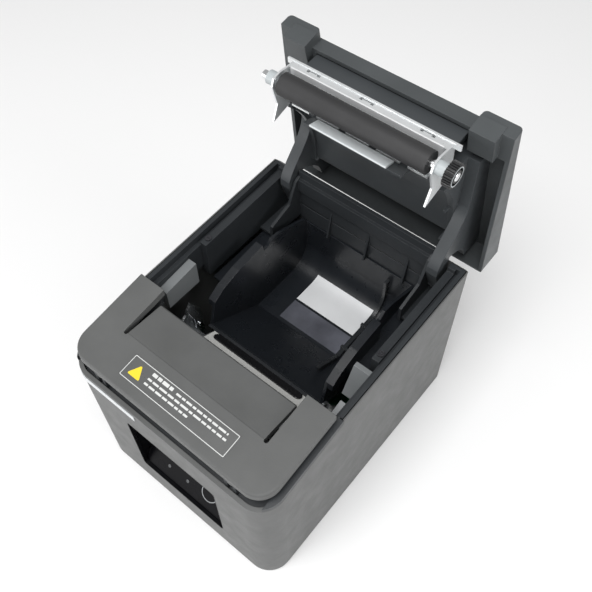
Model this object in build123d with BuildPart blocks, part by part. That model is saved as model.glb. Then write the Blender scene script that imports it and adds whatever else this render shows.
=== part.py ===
"""Clamshell receipt printer for 80 mm paper, with its lid standing open.

Millimetres. +X is the printer's right as its front is faced, +Y runs to the rear and +Z is up.
The origin is the centre of the footprint, on the surface that the rubber feet stand on.
Pieces of the lid are drawn in the closed position and swung open about the hinge before they are written.
"""
from build123d import *
import math
import os

os.makedirs("parts", exist_ok=True)

# Overall sizes
WIDTH = 148.0
DEPTH = 186.0
FOOT_HEIGHT = 1.5
WALL = 2.5
FRONT = -DEPTH / 2
REAR = DEPTH / 2
SIDE = WIDTH / 2
FRONT_CORNER_R = 15.0
REAR_CORNER_R = 4.0
TALL = 180.0

# Rim of the body: a sloped stretch in front, then a nearly level one
RIM_FRONT_Z = 112.3
RIM_BEND_Y = -29.0
RIM_BEND_Z = 122.7
RIM_REAR_Z = 126.8
RIM_REAR_CHAMFER = 3.0
BAND = 3.5
GROOVE = 0.5
LIP = 0.8
STRIP_GAP = 0.6

# Sloped top that the front cover and the closed lid share
TOP_FRONT_Z = 123.0
TOP_SLOPE = 0.139

# Lid hinge
HINGE_Y = 88.5
HINGE_Z = 103.0
HINGE_PIN_R = 1.5
HINGE_BOSS_R = 3.2
RUNNING_FIT = 0.05
LID_OPEN_ANGLE = 86.0
HINGE_AXIS = Axis((0, HINGE_Y, HINGE_Z), (1, 0, 0))

# Print line, in the closed position
PLATEN_Y = -24.4
PLATEN_Z = 92.1
PLATEN_R = 6.5
PLATEN_HALF = 47.0
SHAFT_R = 2.5
HEAD_GAP = 0.3
HEAD_TILT = 28.6

# Gears
MODULE = 0.5
PRESSURE_ANGLE = math.radians(20)
TIP_CLEARANCE = 0.3
PLATEN_TEETH = 26
IDLER_TEETH = 38
WHEEL_TEETH = 64
PINION_TEETH = 18
CUTTER_TEETH = 22

# Front cover
COVER_HALF = 71.6
COVER_FRONT_Y = FRONT + 2.4
COVER_CORNER_R = 13.0
COVER_THICK = 5.0
EAR_REAR_Y = FRONT + 60.3
TONGUE_HALF = 50.0
TONGUE_REAR_Y = FRONT + 54.7
TONGUE_REAR_Z = 125.2
SLOT_WIDTH = 2.6
SLOT_FRONT_Y = FRONT + 27.5
COVER_HINGE_Y = FRONT + 4.5
COVER_HINGE_Z = 116.4

# Lid
EAR_TIP_Y = FRONT + 61.5
LID_FRONT_Y = FRONT + 68.5
EAR_INNER = 52.0
EAR_BLOCK_OUTER = 67.0
EAR_BLOCK_DEPTH = 14.7
LID_GAP = 0.5
ARM_INNER = 52.6
ARM_OUTER = 60.0

# Mouth of the body
MOUTH_FRONT_HALF = 67.4
MOUTH_HALF = 62.5
LEDGE_FRONT_Y = 11.0
LEDGE_DROP = 3.0
TROUGH_OUTER = 70.0
TROUGH_DROP = 5.5
MOUTH_REAR_Y = 85.0
CHEEK_INNER = 50.0

# Paper well
WELL_HALF = 43.5
WELL_WALL = 2.0
WELL_FLOOR_Z = 50.5
WELL_FRONT_Z = 77.5
WELL_REAR_Z = 89.5
WELL_FRONT_Y = -11.5
WELL_REAR_Y = 86.0
WELL_CORNER_R = 18.0

# Front window and the panel behind it
WINDOW_X = 1.5
WINDOW_WIDTH = 69.0
WINDOW_BOTTOM = 23.5
WINDOW_TOP = 83.5
PANEL_TILT = 37.5
BUTTON_X = 17.4
BUTTON_R = 6.8
LED_X = (-16.0, -0.2)

# Connectors on the rear
PORT_PANEL_WIDTH = 104.0
PORT_PANEL_HEIGHT = 34.0
PORT_PANEL_Z = 28.0
FLOOR_THICK = 3.0
FLOOR_TOP = FOOT_HEIGHT + FLOOR_THICK


def rim_z(y):
    """Height of the body's rim at y."""
    if y < RIM_BEND_Y:
        return RIM_FRONT_Z + (RIM_BEND_Z - RIM_FRONT_Z) * (y - FRONT) / (RIM_BEND_Y - FRONT)
    return RIM_BEND_Z + (RIM_REAR_Z - RIM_BEND_Z) * (y - RIM_BEND_Y) / (REAR - RIM_BEND_Y)


def top_z(y):
    """Height of the sloped top at y."""
    return TOP_FRONT_Z + TOP_SLOPE * (y - FRONT)


def side_plane(x):
    """Plane facing +X at x, with Y to the right and Z up."""
    return Plane.YZ.offset(x)


def front_plane(y):
    """Plane facing -Y at y, with X to the right and Z up."""
    return Plane.XZ.offset(-y)


def top_plane(z):
    """Plane facing +Z at z."""
    return Plane.XY.offset(z)


def opened(piece):
    """The piece swung about the hinge from the closed to the open position."""
    return piece.rotate(HINGE_AXIS, -LID_OPEN_ANGLE)


def body_outline(inset, mode=Mode.ADD):
    """Footprint of the body, moved in by inset."""
    with BuildSketch(mode=Mode.PRIVATE) as outline:
        Rectangle(WIDTH - 2 * inset, DEPTH - 2 * inset)
        fillet(outline.vertices().group_by(Axis.Y)[0], FRONT_CORNER_R - inset)
        fillet(outline.vertices().group_by(Axis.Y)[-1], max(REAR_CORNER_R - inset, 1.0))
    add(outline.sketch, mode=mode)


def box_between(x0, x1, y0, y1, mode=Mode.ADD):
    """Rectangle in plan between two pairs of bounds."""
    Polygon((x0, y0), (x1, y0), (x1, y1), (x0, y1), align=None, mode=mode)


def slab(x0, x1, points, mode=Mode.ADD):
    """Side profile through the points, extruded along X from x0 to x1."""
    with BuildSketch(side_plane(x0), mode=Mode.PRIVATE) as profile:
        Polygon(*points, align=None)
    extrude(profile.sketch, amount=x1 - x0, mode=mode)


def slab_pair(inner, outer, points, mode=Mode.ADD):
    """The same side profile on the left and on the right, between two distances from the middle."""
    slab(-outer, -inner, points, mode)
    slab(inner, outer, points, mode)


def above_rim(drop_front, drop_rear, rear_chamfer=RIM_REAR_CHAMFER):
    """Points round everything above the rim, lowered by the two drops."""
    return [
        (FRONT - 9, rim_z(FRONT - 9) - drop_front),
        (RIM_BEND_Y, RIM_BEND_Z - drop_front),
        (RIM_BEND_Y, RIM_BEND_Z - drop_rear),
        (REAR - rear_chamfer, rim_z(REAR - rear_chamfer) - drop_rear),
        (REAR + 9, rim_z(REAR) - drop_rear - rear_chamfer - 9),
        (REAR + 9, 2 * TALL),
        (FRONT - 9, 2 * TALL),
    ]


def top_slab(y0, y1, drop_top, drop_bottom):
    """Side profile of a layer that lies parallel to the sloped top."""
    return [
        (y0, top_z(y0) - drop_top),
        (y1, top_z(y1) - drop_top),
        (y1, top_z(y1) - drop_bottom),
        (y0, top_z(y0) - drop_bottom),
    ]


def gear_points(teeth, module=MODULE, backlash=0.12):
    """Outline of a spur gear with involute flanks, thinned a little for backlash."""
    pitch_r = module * teeth / 2
    base_r = pitch_r * math.cos(PRESSURE_ANGLE)
    root_r = pitch_r - 1.2 * module
    start_r = max(base_r, root_r)
    tip_r = gear_tip(teeth, module)
    half_tooth = math.pi / (2 * teeth) - backlash / (2 * pitch_r)
    inv_pitch = math.tan(PRESSURE_ANGLE) - PRESSURE_ANGLE
    flank = []
    for step in range(3):
        r = start_r + (tip_r - start_r) * step / 2
        pressure = math.acos(min(1.0, base_r / r))
        flank.append((r, half_tooth + inv_pitch - math.tan(pressure) + pressure))
    side = [(root_r, flank[0][1])] + flank if root_r < base_r else flank
    points = []
    for tooth in range(teeth):
        middle = 2 * math.pi * tooth / teeth
        for r, angle in [(r, -a) for r, a in side] + side[::-1]:
            points.append((r * math.cos(middle + angle), r * math.sin(middle + angle)))
    return points


def gear_tip(teeth, module=MODULE):
    """Radius over a gear's tooth tips."""
    return module * (teeth / 2 + 0.9)


def spaced(teeth_a, teeth_b):
    """Centre distance of two gears in mesh."""
    return MODULE * (teeth_a + teeth_b) / 2 + RUNNING_FIT


# ---------------------------------------------------------------- housing

BOSS_X = 66.0
BOSS_Y = (-60.0, 76.0)
BOSS_R = 3.5
BOSS_TOP = 22.0
SCREW_R = 1.4
REAR_POCKET_Z = 96.0

with BuildPart() as outer_case:
    with BuildSketch(top_plane(FOOT_HEIGHT)):
        body_outline(0)
        body_outline(WALL, mode=Mode.SUBTRACT)
    extrude(amount=TALL)
    # The wall stops under the band in front, and is a thin lip beside the frame behind it
    slab(-WIDTH, WIDTH, above_rim(BAND + GROOVE, 0), mode=Mode.SUBTRACT)
    with BuildSketch(top_plane(RIM_BEND_Z - 6.5)):
        body_outline(LIP)
        box_between(-WIDTH, WIDTH, FRONT - 9, RIM_BEND_Y, mode=Mode.SUBTRACT)
    extrude(amount=TALL, mode=Mode.SUBTRACT)
    with BuildSketch(top_plane(REAR_POCKET_Z)):
        box_between(-MOUTH_HALF - 3, MOUTH_HALF + 3, MOUTH_REAR_Y, REAR - LIP)
    extrude(amount=TALL, mode=Mode.SUBTRACT)
    # Front window and rear opening for the connectors
    with BuildSketch(front_plane(FRONT)):
        with Locations((WINDOW_X, (WINDOW_TOP + WINDOW_BOTTOM) / 2)):
            RectangleRounded(WINDOW_WIDTH, WINDOW_TOP - WINDOW_BOTTOM, 3)
    extrude(amount=-2 * WALL, mode=Mode.SUBTRACT)
    with BuildSketch(front_plane(REAR)):
        with Locations((0, PORT_PANEL_Z)):
            RectangleRounded(PORT_PANEL_WIDTH, PORT_PANEL_HEIGHT, 2)
    extrude(amount=2 * WALL, mode=Mode.SUBTRACT)
    # Bosses for the screws that hold the base
    with BuildSketch(top_plane(FLOOR_TOP)):
        for x in (-BOSS_X, BOSS_X):
            for y in BOSS_Y:
                with Locations((x, y)):
                    Circle(BOSS_R)
                with Locations((math.copysign(BOSS_X + SIDE - 1, x) / 2, y)):
                    Rectangle(SIDE - 1 - BOSS_X, 3)
                with Locations((x, y)):
                    Circle(SCREW_R + RUNNING_FIT, mode=Mode.SUBTRACT)
    extrude(amount=BOSS_TOP - FLOOR_TOP)
outer_case.part.label = "outer_case"
export_step(outer_case.part, "parts/outer_case.step")

BOARD_X = 50.0
BOARD_Y = (-22.0, 66.0)
STANDOFF_HEIGHT = 4.0
SCREW_HEAD_R = 2.7
SCREW_HEAD = 1.7

with BuildPart() as base_plate:
    with BuildSketch(top_plane(FOOT_HEIGHT)):
        body_outline(WALL + 0.2)
    extrude(amount=FLOOR_THICK)
    with BuildSketch(top_plane(FLOOR_TOP)):
        with Locations(*[(x, y) for x in (-BOARD_X, BOARD_X) for y in BOARD_Y]):
            Circle(3.5)
    extrude(amount=STANDOFF_HEIGHT)
    with BuildSketch(top_plane(FLOOR_TOP + STANDOFF_HEIGHT)):
        with Locations(*[(x, y) for x in (-BOARD_X, BOARD_X) for y in BOARD_Y]):
            Circle(1.25)
    extrude(amount=-STANDOFF_HEIGHT, mode=Mode.SUBTRACT)
    with BuildSketch(top_plane(FOOT_HEIGHT)):
        with Locations(*[(x, y) for x in (-BOSS_X, BOSS_X) for y in BOSS_Y]):
            Circle(SCREW_R + RUNNING_FIT)
    extrude(amount=FLOOR_THICK, mode=Mode.SUBTRACT)
    with BuildSketch(top_plane(FOOT_HEIGHT)):
        with Locations(*[(x, y) for x in (-BOSS_X, BOSS_X) for y in BOSS_Y]):
            Circle(SCREW_HEAD_R + 0.2)
    extrude(amount=SCREW_HEAD, mode=Mode.SUBTRACT)
base_plate.part.label = "base_plate"
export_step(base_plate.part, "parts/base_plate.step")

FOOT_X = 56.0
FOOT_Y = 76.0
FOOT_R = 7.0

with BuildPart() as rubber_feet:
    with BuildSketch(Plane.XY):
        with GridLocations(2 * FOOT_X, 2 * FOOT_Y, 2, 2):
            Circle(FOOT_R)
    extrude(amount=FOOT_HEIGHT)
    chamfer(rubber_feet.faces().filter_by(Plane.XY).group_by(Axis.Z)[0].edges(), 0.5)
rubber_feet.part.label = "rubber_feet"
export_step(rubber_feet.part, "parts/rubber_feet.step")

with BuildPart() as base_screws:
    with BuildSketch(top_plane(FOOT_HEIGHT + 0.1)):
        with Locations(*[(x, y) for x in (-BOSS_X, BOSS_X) for y in BOSS_Y]):
            Circle(SCREW_HEAD_R)
            RegularPolygon(1.2, 6, mode=Mode.SUBTRACT)
    extrude(amount=SCREW_HEAD - 0.1)
    with BuildSketch(top_plane(FOOT_HEIGHT + SCREW_HEAD - 0.6)):
        with Locations(*[(x, y) for x in (-BOSS_X, BOSS_X) for y in BOSS_Y]):
            Circle(SCREW_R)
    extrude(amount=14.0)
base_screws.part.label = "base_screws"
export_step(base_screws.part, "parts/base_screws.step")

FRAME_BOTTOM = 98.0
STRIP_INSET = LIP + STRIP_GAP
SKIRT_INSET = WALL + 0.3
BAND_WIDTH = 5.0
FENCE_INSET = 7.0
DECK_DROP = 7.0
DECK_HALF = 57.0
FRAME_SCREW_X = 65.2
FRAME_SCREW_Y = 16.0
REAR_WALL_TOP = 132.5
REAR_WALL_Y = 87.0
RIB_X = (-24.0, 6.0, 36.0)
COVER_POST_X = (44.4, 46.6, 50.4, 52.6)

with BuildPart() as upper_frame:
    # Band over the front of the case
    with BuildSketch(top_plane(FRAME_BOTTOM)):
        body_outline(0)
        body_outline(BAND_WIDTH, mode=Mode.SUBTRACT)
        box_between(-WIDTH, WIDTH, RIM_BEND_Y - 0.3, REAR + 9, mode=Mode.SUBTRACT)
    extrude(amount=TALL - FRAME_BOTTOM)
    band_bottom = [(y, z) for y, z in above_rim(BAND, BAND)[:2]]
    slab(-WIDTH, WIDTH, band_bottom + [(RIM_BEND_Y, 0), (FRONT - 9, 0)], mode=Mode.SUBTRACT)
    # Skirt inside the case, then the deck round the mouth
    with BuildSketch(top_plane(FRAME_BOTTOM)):
        body_outline(SKIRT_INSET)
        body_outline(SKIRT_INSET + WALL, mode=Mode.SUBTRACT)
    extrude(amount=TALL - FRAME_BOTTOM)
    with BuildSketch(top_plane(RIM_BEND_Z - 6.2)):
        body_outline(STRIP_INSET)
        box_between(-WIDTH, WIDTH, FRONT - 9, RIM_BEND_Y + 0.3, mode=Mode.SUBTRACT)
        box_between(-MOUTH_FRONT_HALF, MOUTH_FRONT_HALF, RIM_BEND_Y - 9, LEDGE_FRONT_Y, mode=Mode.SUBTRACT)
        box_between(-MOUTH_HALF, MOUTH_HALF, LEDGE_FRONT_Y - 9, MOUTH_REAR_Y, mode=Mode.SUBTRACT)
    extrude(amount=TALL - RIM_BEND_Z)
    with BuildSketch(top_plane(RIM_FRONT_Z - DECK_DROP - 2)):
        body_outline(SKIRT_INSET)
        box_between(-DECK_HALF, DECK_HALF, FRONT + 14, RIM_BEND_Y + 9, mode=Mode.SUBTRACT)
        box_between(-WIDTH, WIDTH, RIM_BEND_Y + 1, REAR + 9, mode=Mode.SUBTRACT)
    extrude(amount=TALL - RIM_FRONT_Z)
    # The deck is sunk inside the band, and the trough and the ledge are sunk inside the rim strip
    deck_sink = above_rim(DECK_DROP, DECK_DROP)
    slab(-SIDE + BAND_WIDTH, SIDE - BAND_WIDTH, deck_sink[:2] + [(RIM_BEND_Y, TALL), (FRONT - 9, TALL)],
         mode=Mode.SUBTRACT)
    # Walls that go down from the mouth
    slab_pair(MOUTH_HALF, MOUTH_HALF + 1.8, [
        (LEDGE_FRONT_Y, FRAME_BOTTOM - 6),
        (REAR - SKIRT_INSET - 0.1, FRAME_BOTTOM - 6),
        (REAR - SKIRT_INSET - 0.1, FRAME_BOTTOM - 1),
        (REAR - LIP - 0.6, FRAME_BOTTOM - 1),
        (REAR - LIP - 0.6, TALL),
        (LEDGE_FRONT_Y, TALL),
    ])
    slab_pair(MOUTH_HALF, SIDE - SKIRT_INSET - 0.1, [
        (LEDGE_FRONT_Y, FRAME_BOTTOM - 6),
        (LEDGE_FRONT_Y + 1.8, FRAME_BOTTOM - 6),
        (LEDGE_FRONT_Y + 1.8, TALL),
        (LEDGE_FRONT_Y, TALL),
    ])
    slab_pair(MOUTH_FRONT_HALF, SIDE - SKIRT_INSET - 0.1, [
        (RIM_BEND_Y - 1, FRAME_BOTTOM),
        (LEDGE_FRONT_Y + 1, FRAME_BOTTOM),
        (LEDGE_FRONT_Y + 1, TALL),
        (RIM_BEND_Y - 1, TALL),
    ])
    # Everything so far ends at the rim
    slab(-WIDTH, WIDTH, above_rim(0, 0), mode=Mode.SUBTRACT)
    slab_pair(MOUTH_FRONT_HALF, TROUGH_OUTER, [
        (RIM_BEND_Y - 1, rim_z(RIM_BEND_Y) - TROUGH_DROP),
        (REAR - 5, rim_z(REAR - 5) - TROUGH_DROP),
        (REAR - 5, TALL),
        (RIM_BEND_Y - 1, TALL),
    ], mode=Mode.SUBTRACT)
    slab_pair(MOUTH_HALF - 1, MOUTH_FRONT_HALF + 1, [
        (LEDGE_FRONT_Y - 1, rim_z(LEDGE_FRONT_Y) - LEDGE_DROP),
        (MOUTH_REAR_Y + 1, rim_z(MOUTH_REAR_Y) - LEDGE_DROP),
        (MOUTH_REAR_Y + 1, TALL),
        (LEDGE_FRONT_Y - 1, TALL),
    ], mode=Mode.SUBTRACT)
    # Rear wall between the arms, with its cheeks and ribs
    slab(-CHEEK_INNER - 1, CHEEK_INNER + 1, [
        (REAR_WALL_Y, WELL_REAR_Z + 0.5),
        (REAR_WALL_Y + 2.5, WELL_REAR_Z + 0.5),
        (REAR_WALL_Y + 2.5, REAR_WALL_TOP),
        (REAR_WALL_Y, REAR_WALL_TOP),
    ])
    slab_pair(CHEEK_INNER, CHEEK_INNER + 2, [
        (58, FRAME_BOTTOM - 5),
        (MOUTH_REAR_Y + 3, FRAME_BOTTOM - 5),
        (REAR - LIP - 0.6, FRAME_BOTTOM - 1),
        (REAR - LIP - 0.6, 121),
        (REAR_WALL_Y, 128),
        (REAR_WALL_Y - 4, 126),
        (76, 110),
        (58, 104),
    ])
    for x in RIB_X:
        slab(x - 0.6, x + 0.6, [
            (REAR_WALL_Y - 4.5, WELL_REAR_Z + 0.5),
            (REAR_WALL_Y + 0.5, WELL_REAR_Z + 0.5),
            (REAR_WALL_Y + 0.5, 114.5),
        ])
    # Pockets for the arms of the lid
    with BuildSketch(top_plane(FRAME_BOTTOM - 8)):
        for sign in (-1, 1):
            box_between(sign * (CHEEK_INNER + 2), sign * MOUTH_HALF, MOUTH_REAR_Y - 5, REAR)
    extrude(amount=TALL, mode=Mode.SUBTRACT)
    # Floor of the side channels, tying the cheeks to the outer walls
    slab_pair(CHEEK_INNER, MOUTH_HALF + 1, [
        (60, FRAME_BOTTOM - 6),
        (MOUTH_REAR_Y + 5, FRAME_BOTTOM - 6),
        (MOUTH_REAR_Y + 5, FRAME_BOTTOM - 4),
        (60, FRAME_BOTTOM - 4),
    ])
    # Holes for the hinge pins and the frame screws
    with BuildSketch(side_plane(-SIDE)):
        with Locations((HINGE_Y, HINGE_Z)):
            Circle(HINGE_PIN_R)
    extrude(amount=WIDTH, mode=Mode.SUBTRACT)
    with BuildSketch(top_plane(FRAME_BOTTOM)):
        with Locations((-FRAME_SCREW_X, FRAME_SCREW_Y), (FRAME_SCREW_X, FRAME_SCREW_Y)):
            Circle(SCREW_R + RUNNING_FIT)
    extrude(amount=TALL, mode=Mode.SUBTRACT)
    # Notches that the platen gear and the ears of the lid pass through
    slab_pair(56.9, 62.8, [
        (-32.8, FRAME_BOTTOM - 2),
        (RIM_BEND_Y + 1.1, FRAME_BOTTOM - 2),
        (RIM_BEND_Y + 1.1, TALL),
        (-32.8, TALL),
    ], mode=Mode.SUBTRACT)
    slab_pair(EAR_INNER - 1, MOUTH_FRONT_HALF, [
        (RIM_BEND_Y - 0.5, 112.0),
        (RIM_BEND_Y + 1.1, 112.0),
        (RIM_BEND_Y + 1.1, TALL),
        (RIM_BEND_Y - 0.5, TALL),
    ], mode=Mode.SUBTRACT)
    # Low wall under the edge of the front cover
    with BuildSketch(top_plane(RIM_FRONT_Z - DECK_DROP - 1), mode=Mode.PRIVATE) as fence_plan:
        body_outline(FENCE_INSET)
        body_outline(FENCE_INSET + 1.5, mode=Mode.SUBTRACT)
        box_between(-WIDTH, WIDTH, EAR_REAR_Y, REAR, mode=Mode.SUBTRACT)
    with BuildSketch(side_plane(-SIDE), mode=Mode.PRIVATE) as fence_side:
        Polygon(*top_slab(FRONT, 0, COVER_THICK + 0.6, TALL), align=None)
    fence = extrude(fence_plan.sketch, amount=TALL, mode=Mode.PRIVATE)
    fence &= extrude(fence_side.sketch, amount=WIDTH, mode=Mode.PRIVATE)
    add(fence)
    # Posts for the pins of the front cover
    for x0, x1 in ((COVER_POST_X[0], COVER_POST_X[1]), (COVER_POST_X[2], COVER_POST_X[3])):
        slab_pair(x0, x1, [
            (COVER_HINGE_Y - 1.6, RIM_FRONT_Z - DECK_DROP - 2),
            (COVER_HINGE_Y + 2.0, RIM_FRONT_Z - DECK_DROP - 2),
            (COVER_HINGE_Y + 1.6, COVER_HINGE_Z + 1.0),
            (COVER_HINGE_Y + 1.0, COVER_HINGE_Z + 1.6),
            (COVER_HINGE_Y - 1.0, COVER_HINGE_Z + 1.6),
            (COVER_HINGE_Y - 1.6, COVER_HINGE_Z + 1.0),
        ])
    with BuildSketch(side_plane(-SIDE + 6)):
        with Locations((COVER_HINGE_Y, COVER_HINGE_Z)):
            Circle(1.0)
    extrude(amount=WIDTH - 12, mode=Mode.SUBTRACT)
upper_frame.part.label = "upper_frame"
export_step(upper_frame.part, "parts/upper_frame.step")

with BuildPart() as frame_screws:
    for sign in (-1, 1):
        head_z = rim_z(FRAME_SCREW_Y) - LEDGE_DROP
        with BuildSketch(top_plane(head_z + 0.1)):
            with Locations((sign * FRAME_SCREW_X, FRAME_SCREW_Y)):
                Circle(2.0)
                Rectangle(2.4, 0.6, mode=Mode.SUBTRACT)
        extrude(amount=0.8)
        with BuildSketch(top_plane(head_z + 0.5)):
            with Locations((sign * FRAME_SCREW_X, FRAME_SCREW_Y)):
                Circle(SCREW_R)
        extrude(amount=-16.0)
frame_screws.part.label = "frame_screws"
export_step(frame_screws.part, "parts/frame_screws.step")

# ---------------------------------------------------------------- paper well

WELL_RAMP_Y = 32.0
GUARD_HALF = 49.0

well_inner = [
    (WELL_FRONT_Y, WELL_FRONT_Z),
    (WELL_RAMP_Y, WELL_FLOOR_Z),
    (WELL_REAR_Y - WELL_CORNER_R, WELL_FLOOR_Z),
]


def well_profile(drop):
    """Closed side profile of the space in the well, grown outward by drop."""
    with BuildSketch(mode=Mode.PRIVATE) as profile:
        with BuildLine():
            floor = Polyline(*well_inner)
            corner = RadiusArc(floor @ 1, (WELL_REAR_Y, WELL_FLOOR_Z + WELL_CORNER_R), -WELL_CORNER_R)
            Polyline(
                corner @ 1,
                (WELL_REAR_Y, WELL_REAR_Z),
                (WELL_REAR_Y, TALL),
                (WELL_FRONT_Y, TALL),
                (WELL_FRONT_Y, WELL_FRONT_Z),
            )
        make_face()
        if drop:
            offset(amount=drop)
    return profile.sketch


with BuildPart() as paper_well:
    with BuildSketch(side_plane(-WELL_HALF - WELL_WALL)):
        add(well_profile(WELL_WALL))
    extrude(amount=2 * (WELL_HALF + WELL_WALL))
    with BuildSketch(side_plane(-WELL_HALF)):
        add(well_profile(0))
    extrude(amount=2 * WELL_HALF, mode=Mode.SUBTRACT)
    # Side walls end in a curved guard, a notch and a low ridge; front and rear walls end lower
    slab(-WELL_HALF - WELL_WALL - 1, WELL_HALF + WELL_WALL + 1, [
        (WELL_FRONT_Y - 9, WELL_FRONT_Z - 2),
        (WELL_FRONT_Y + 1.5, WELL_FRONT_Z - 2),
        (-5.0, 95.0),
        (4.0, 100.5),
        (18.0, 104.5),
        (41.0, 107.0),
        (42.0, 101.0),
        (46.0, 101.0),
        (50.0, 105.0),
        (58.0, 104.0),
        (WELL_REAR_Y - 2, 94.0),
        (WELL_REAR_Y - 1, WELL_REAR_Z),
        (WELL_REAR_Y + 9, WELL_REAR_Z),
        (WELL_REAR_Y + 9, 2 * TALL),
        (WELL_FRONT_Y - 9, 2 * TALL),
    ], mode=Mode.SUBTRACT)
    slab_pair(WELL_HALF, GUARD_HALF, [
        (-3.0, 86.0),
        (41.0, 86.0),
        (41.0, 107.0),
        (18.0, 104.5),
        (4.0, 100.5),
        (-5.0, 95.0),
        (-5.5, 90.0),
    ])
    # Flanges that rest against the walls of the mouth
    slab_pair(WELL_HALF + 1, MOUTH_HALF - 0.1, [
        (LEDGE_FRONT_Y + 2, 86.0),
        (REAR_WALL_Y - 4, 86.0),
        (REAR_WALL_Y - 4, 88.0),
        (LEDGE_FRONT_Y + 2, 88.0),
    ])
    # Window for the paper sensor
    with BuildSketch(top_plane(WELL_FLOOR_Z - 9)):
        with Locations((-10, 44)):
            Rectangle(5, 8)
    extrude(amount=20, mode=Mode.SUBTRACT)
paper_well.part.label = "paper_well"
export_step(paper_well.part, "parts/paper_well.step")

with BuildPart() as paper_sensor:
    with BuildSketch(top_plane(WELL_FLOOR_Z - 8)):
        with Locations((-10, 44)):
            Rectangle(4.6, 7.6)
    extrude(amount=8.0)
    with BuildSketch(top_plane(WELL_FLOOR_Z - 12)):
        with Locations((-10, 44)):
            Rectangle(12, 12)
    extrude(amount=6.0)
paper_sensor.part.label = "paper_sensor"
export_step(paper_sensor.part, "parts/paper_sensor.step")

GUIDE_X = 24.0
GUIDE_THICK = 2.2
GUIDE_HEIGHT = 4.0

with BuildPart() as width_guide:
    with BuildSketch(side_plane(GUIDE_X)):
        add(well_profile(-0.02))
        add(well_profile(-GUIDE_HEIGHT), mode=Mode.SUBTRACT)
        box_between(-60, 12, -TALL, 2 * TALL, mode=Mode.SUBTRACT)
        box_between(-60, 200, 82, 2 * TALL, mode=Mode.SUBTRACT)
    extrude(amount=GUIDE_THICK)
    for y in (40.0, 62.0):
        slab(GUIDE_X - 1.4, GUIDE_X + GUIDE_THICK + 1.4, [
            (y - 1, WELL_FLOOR_Z + 1.2),
            (y + 1, WELL_FLOOR_Z + 1.2),
            (y + 1, WELL_FLOOR_Z + GUIDE_HEIGHT + 0.8),
            (y - 1, WELL_FLOOR_Z + GUIDE_HEIGHT + 0.8),
        ])
width_guide.part.label = "width_guide"
export_step(width_guide.part, "parts/width_guide.step")

with BuildPart() as well_label:
    with BuildSketch(top_plane(WELL_FLOOR_Z + 0.05)):
        box_between(-26, GUIDE_X - 2, 53, WELL_REAR_Y - WELL_CORNER_R - 0.5)
    extrude(amount=0.2)
well_label.part.label = "well_label"
export_step(well_label.part, "parts/well_label.step")

# ---------------------------------------------------------------- front panel

PANEL_FOOT = (FRONT + WALL + 0.2, WINDOW_BOTTOM + 0.5)
PANEL_RUN = 30.0
PANEL_THICK = 2.0
panel_up = (math.sin(math.radians(PANEL_TILT)), math.cos(math.radians(PANEL_TILT)))
panel_plane = Plane(
    origin=(0, PANEL_FOOT[0], PANEL_FOOT[1]),
    x_dir=(1, 0, 0),
    z_dir=(0, -panel_up[1], panel_up[0]),
)
panel_axis = Axis(panel_plane.origin, panel_plane.z_dir)
BUTTON_RISE = 12.2
LED_RISE = 7.4
BUTTON_TRAVEL = 0.8

with BuildPart() as status_panel:
    with BuildSketch(panel_plane):
        box_between(-33.4, 36.4, 0, PANEL_RUN)
        with Locations((BUTTON_X, BUTTON_RISE)):
            Circle(BUTTON_R + 0.3, mode=Mode.SUBTRACT)
        for x in LED_X:
            with Locations((x, LED_RISE)):
                Circle(1.2, mode=Mode.SUBTRACT)
    extrude(amount=-PANEL_THICK)
    # Back, sides and roof of the recess
    panel_top_y = PANEL_FOOT[0] + PANEL_RUN * panel_up[0]
    panel_top_z = PANEL_FOOT[1] + PANEL_RUN * panel_up[1]
    slab(-33.4, 36.4, [
        (panel_top_y, panel_top_z - 1),
        (panel_top_y + PANEL_THICK, panel_top_z - 1),
        (panel_top_y + PANEL_THICK, WINDOW_TOP + 3),
        (panel_top_y, WINDOW_TOP + 3),
    ])
    slab(-33.4, 36.4, [
        (PANEL_FOOT[0], WINDOW_TOP + 1),
        (panel_top_y + PANEL_THICK, WINDOW_TOP + 1),
        (panel_top_y + PANEL_THICK, WINDOW_TOP + 3),
        (PANEL_FOOT[0], WINDOW_TOP + 3),
    ])
    for x in (-35.4, 36.4):
        slab(x, x + PANEL_THICK, [
            (PANEL_FOOT[0], PANEL_FOOT[1] - 2),
            (PANEL_FOOT[0] + 3, PANEL_FOOT[1] - 2),
            (panel_top_y + PANEL_THICK, panel_top_z - 2),
            (panel_top_y + PANEL_THICK, WINDOW_TOP + 3),
            (PANEL_FOOT[0], WINDOW_TOP + 3),
        ])
status_panel.part.label = "status_panel"
export_step(status_panel.part, "parts/status_panel.step")

with BuildPart() as led_lenses:
    with BuildSketch(panel_plane.offset(-3.5)):
        for x in LED_X:
            with Locations((x, LED_RISE)):
                Circle(1.15)
    extrude(amount=3.7)
led_lenses.part.label = "led_lenses"
export_step(led_lenses.part, "parts/led_lenses.step")

with BuildPart() as feed_button:
    with BuildSketch(panel_plane.offset(-3.0)):
        with Locations((BUTTON_X, BUTTON_RISE)):
            Circle(BUTTON_R)
    extrude(amount=4.0)
    fillet(feed_button.faces().sort_by(panel_axis)[-1].edges(), 0.4)
feed_button.part.label = "feed_button"
export_step(feed_button.part, "parts/feed_button.step")

# ---------------------------------------------------------------- board and connectors

BOARD_Z = FLOOR_TOP + STANDOFF_HEIGHT
BOARD_THICK = 1.6

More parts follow.
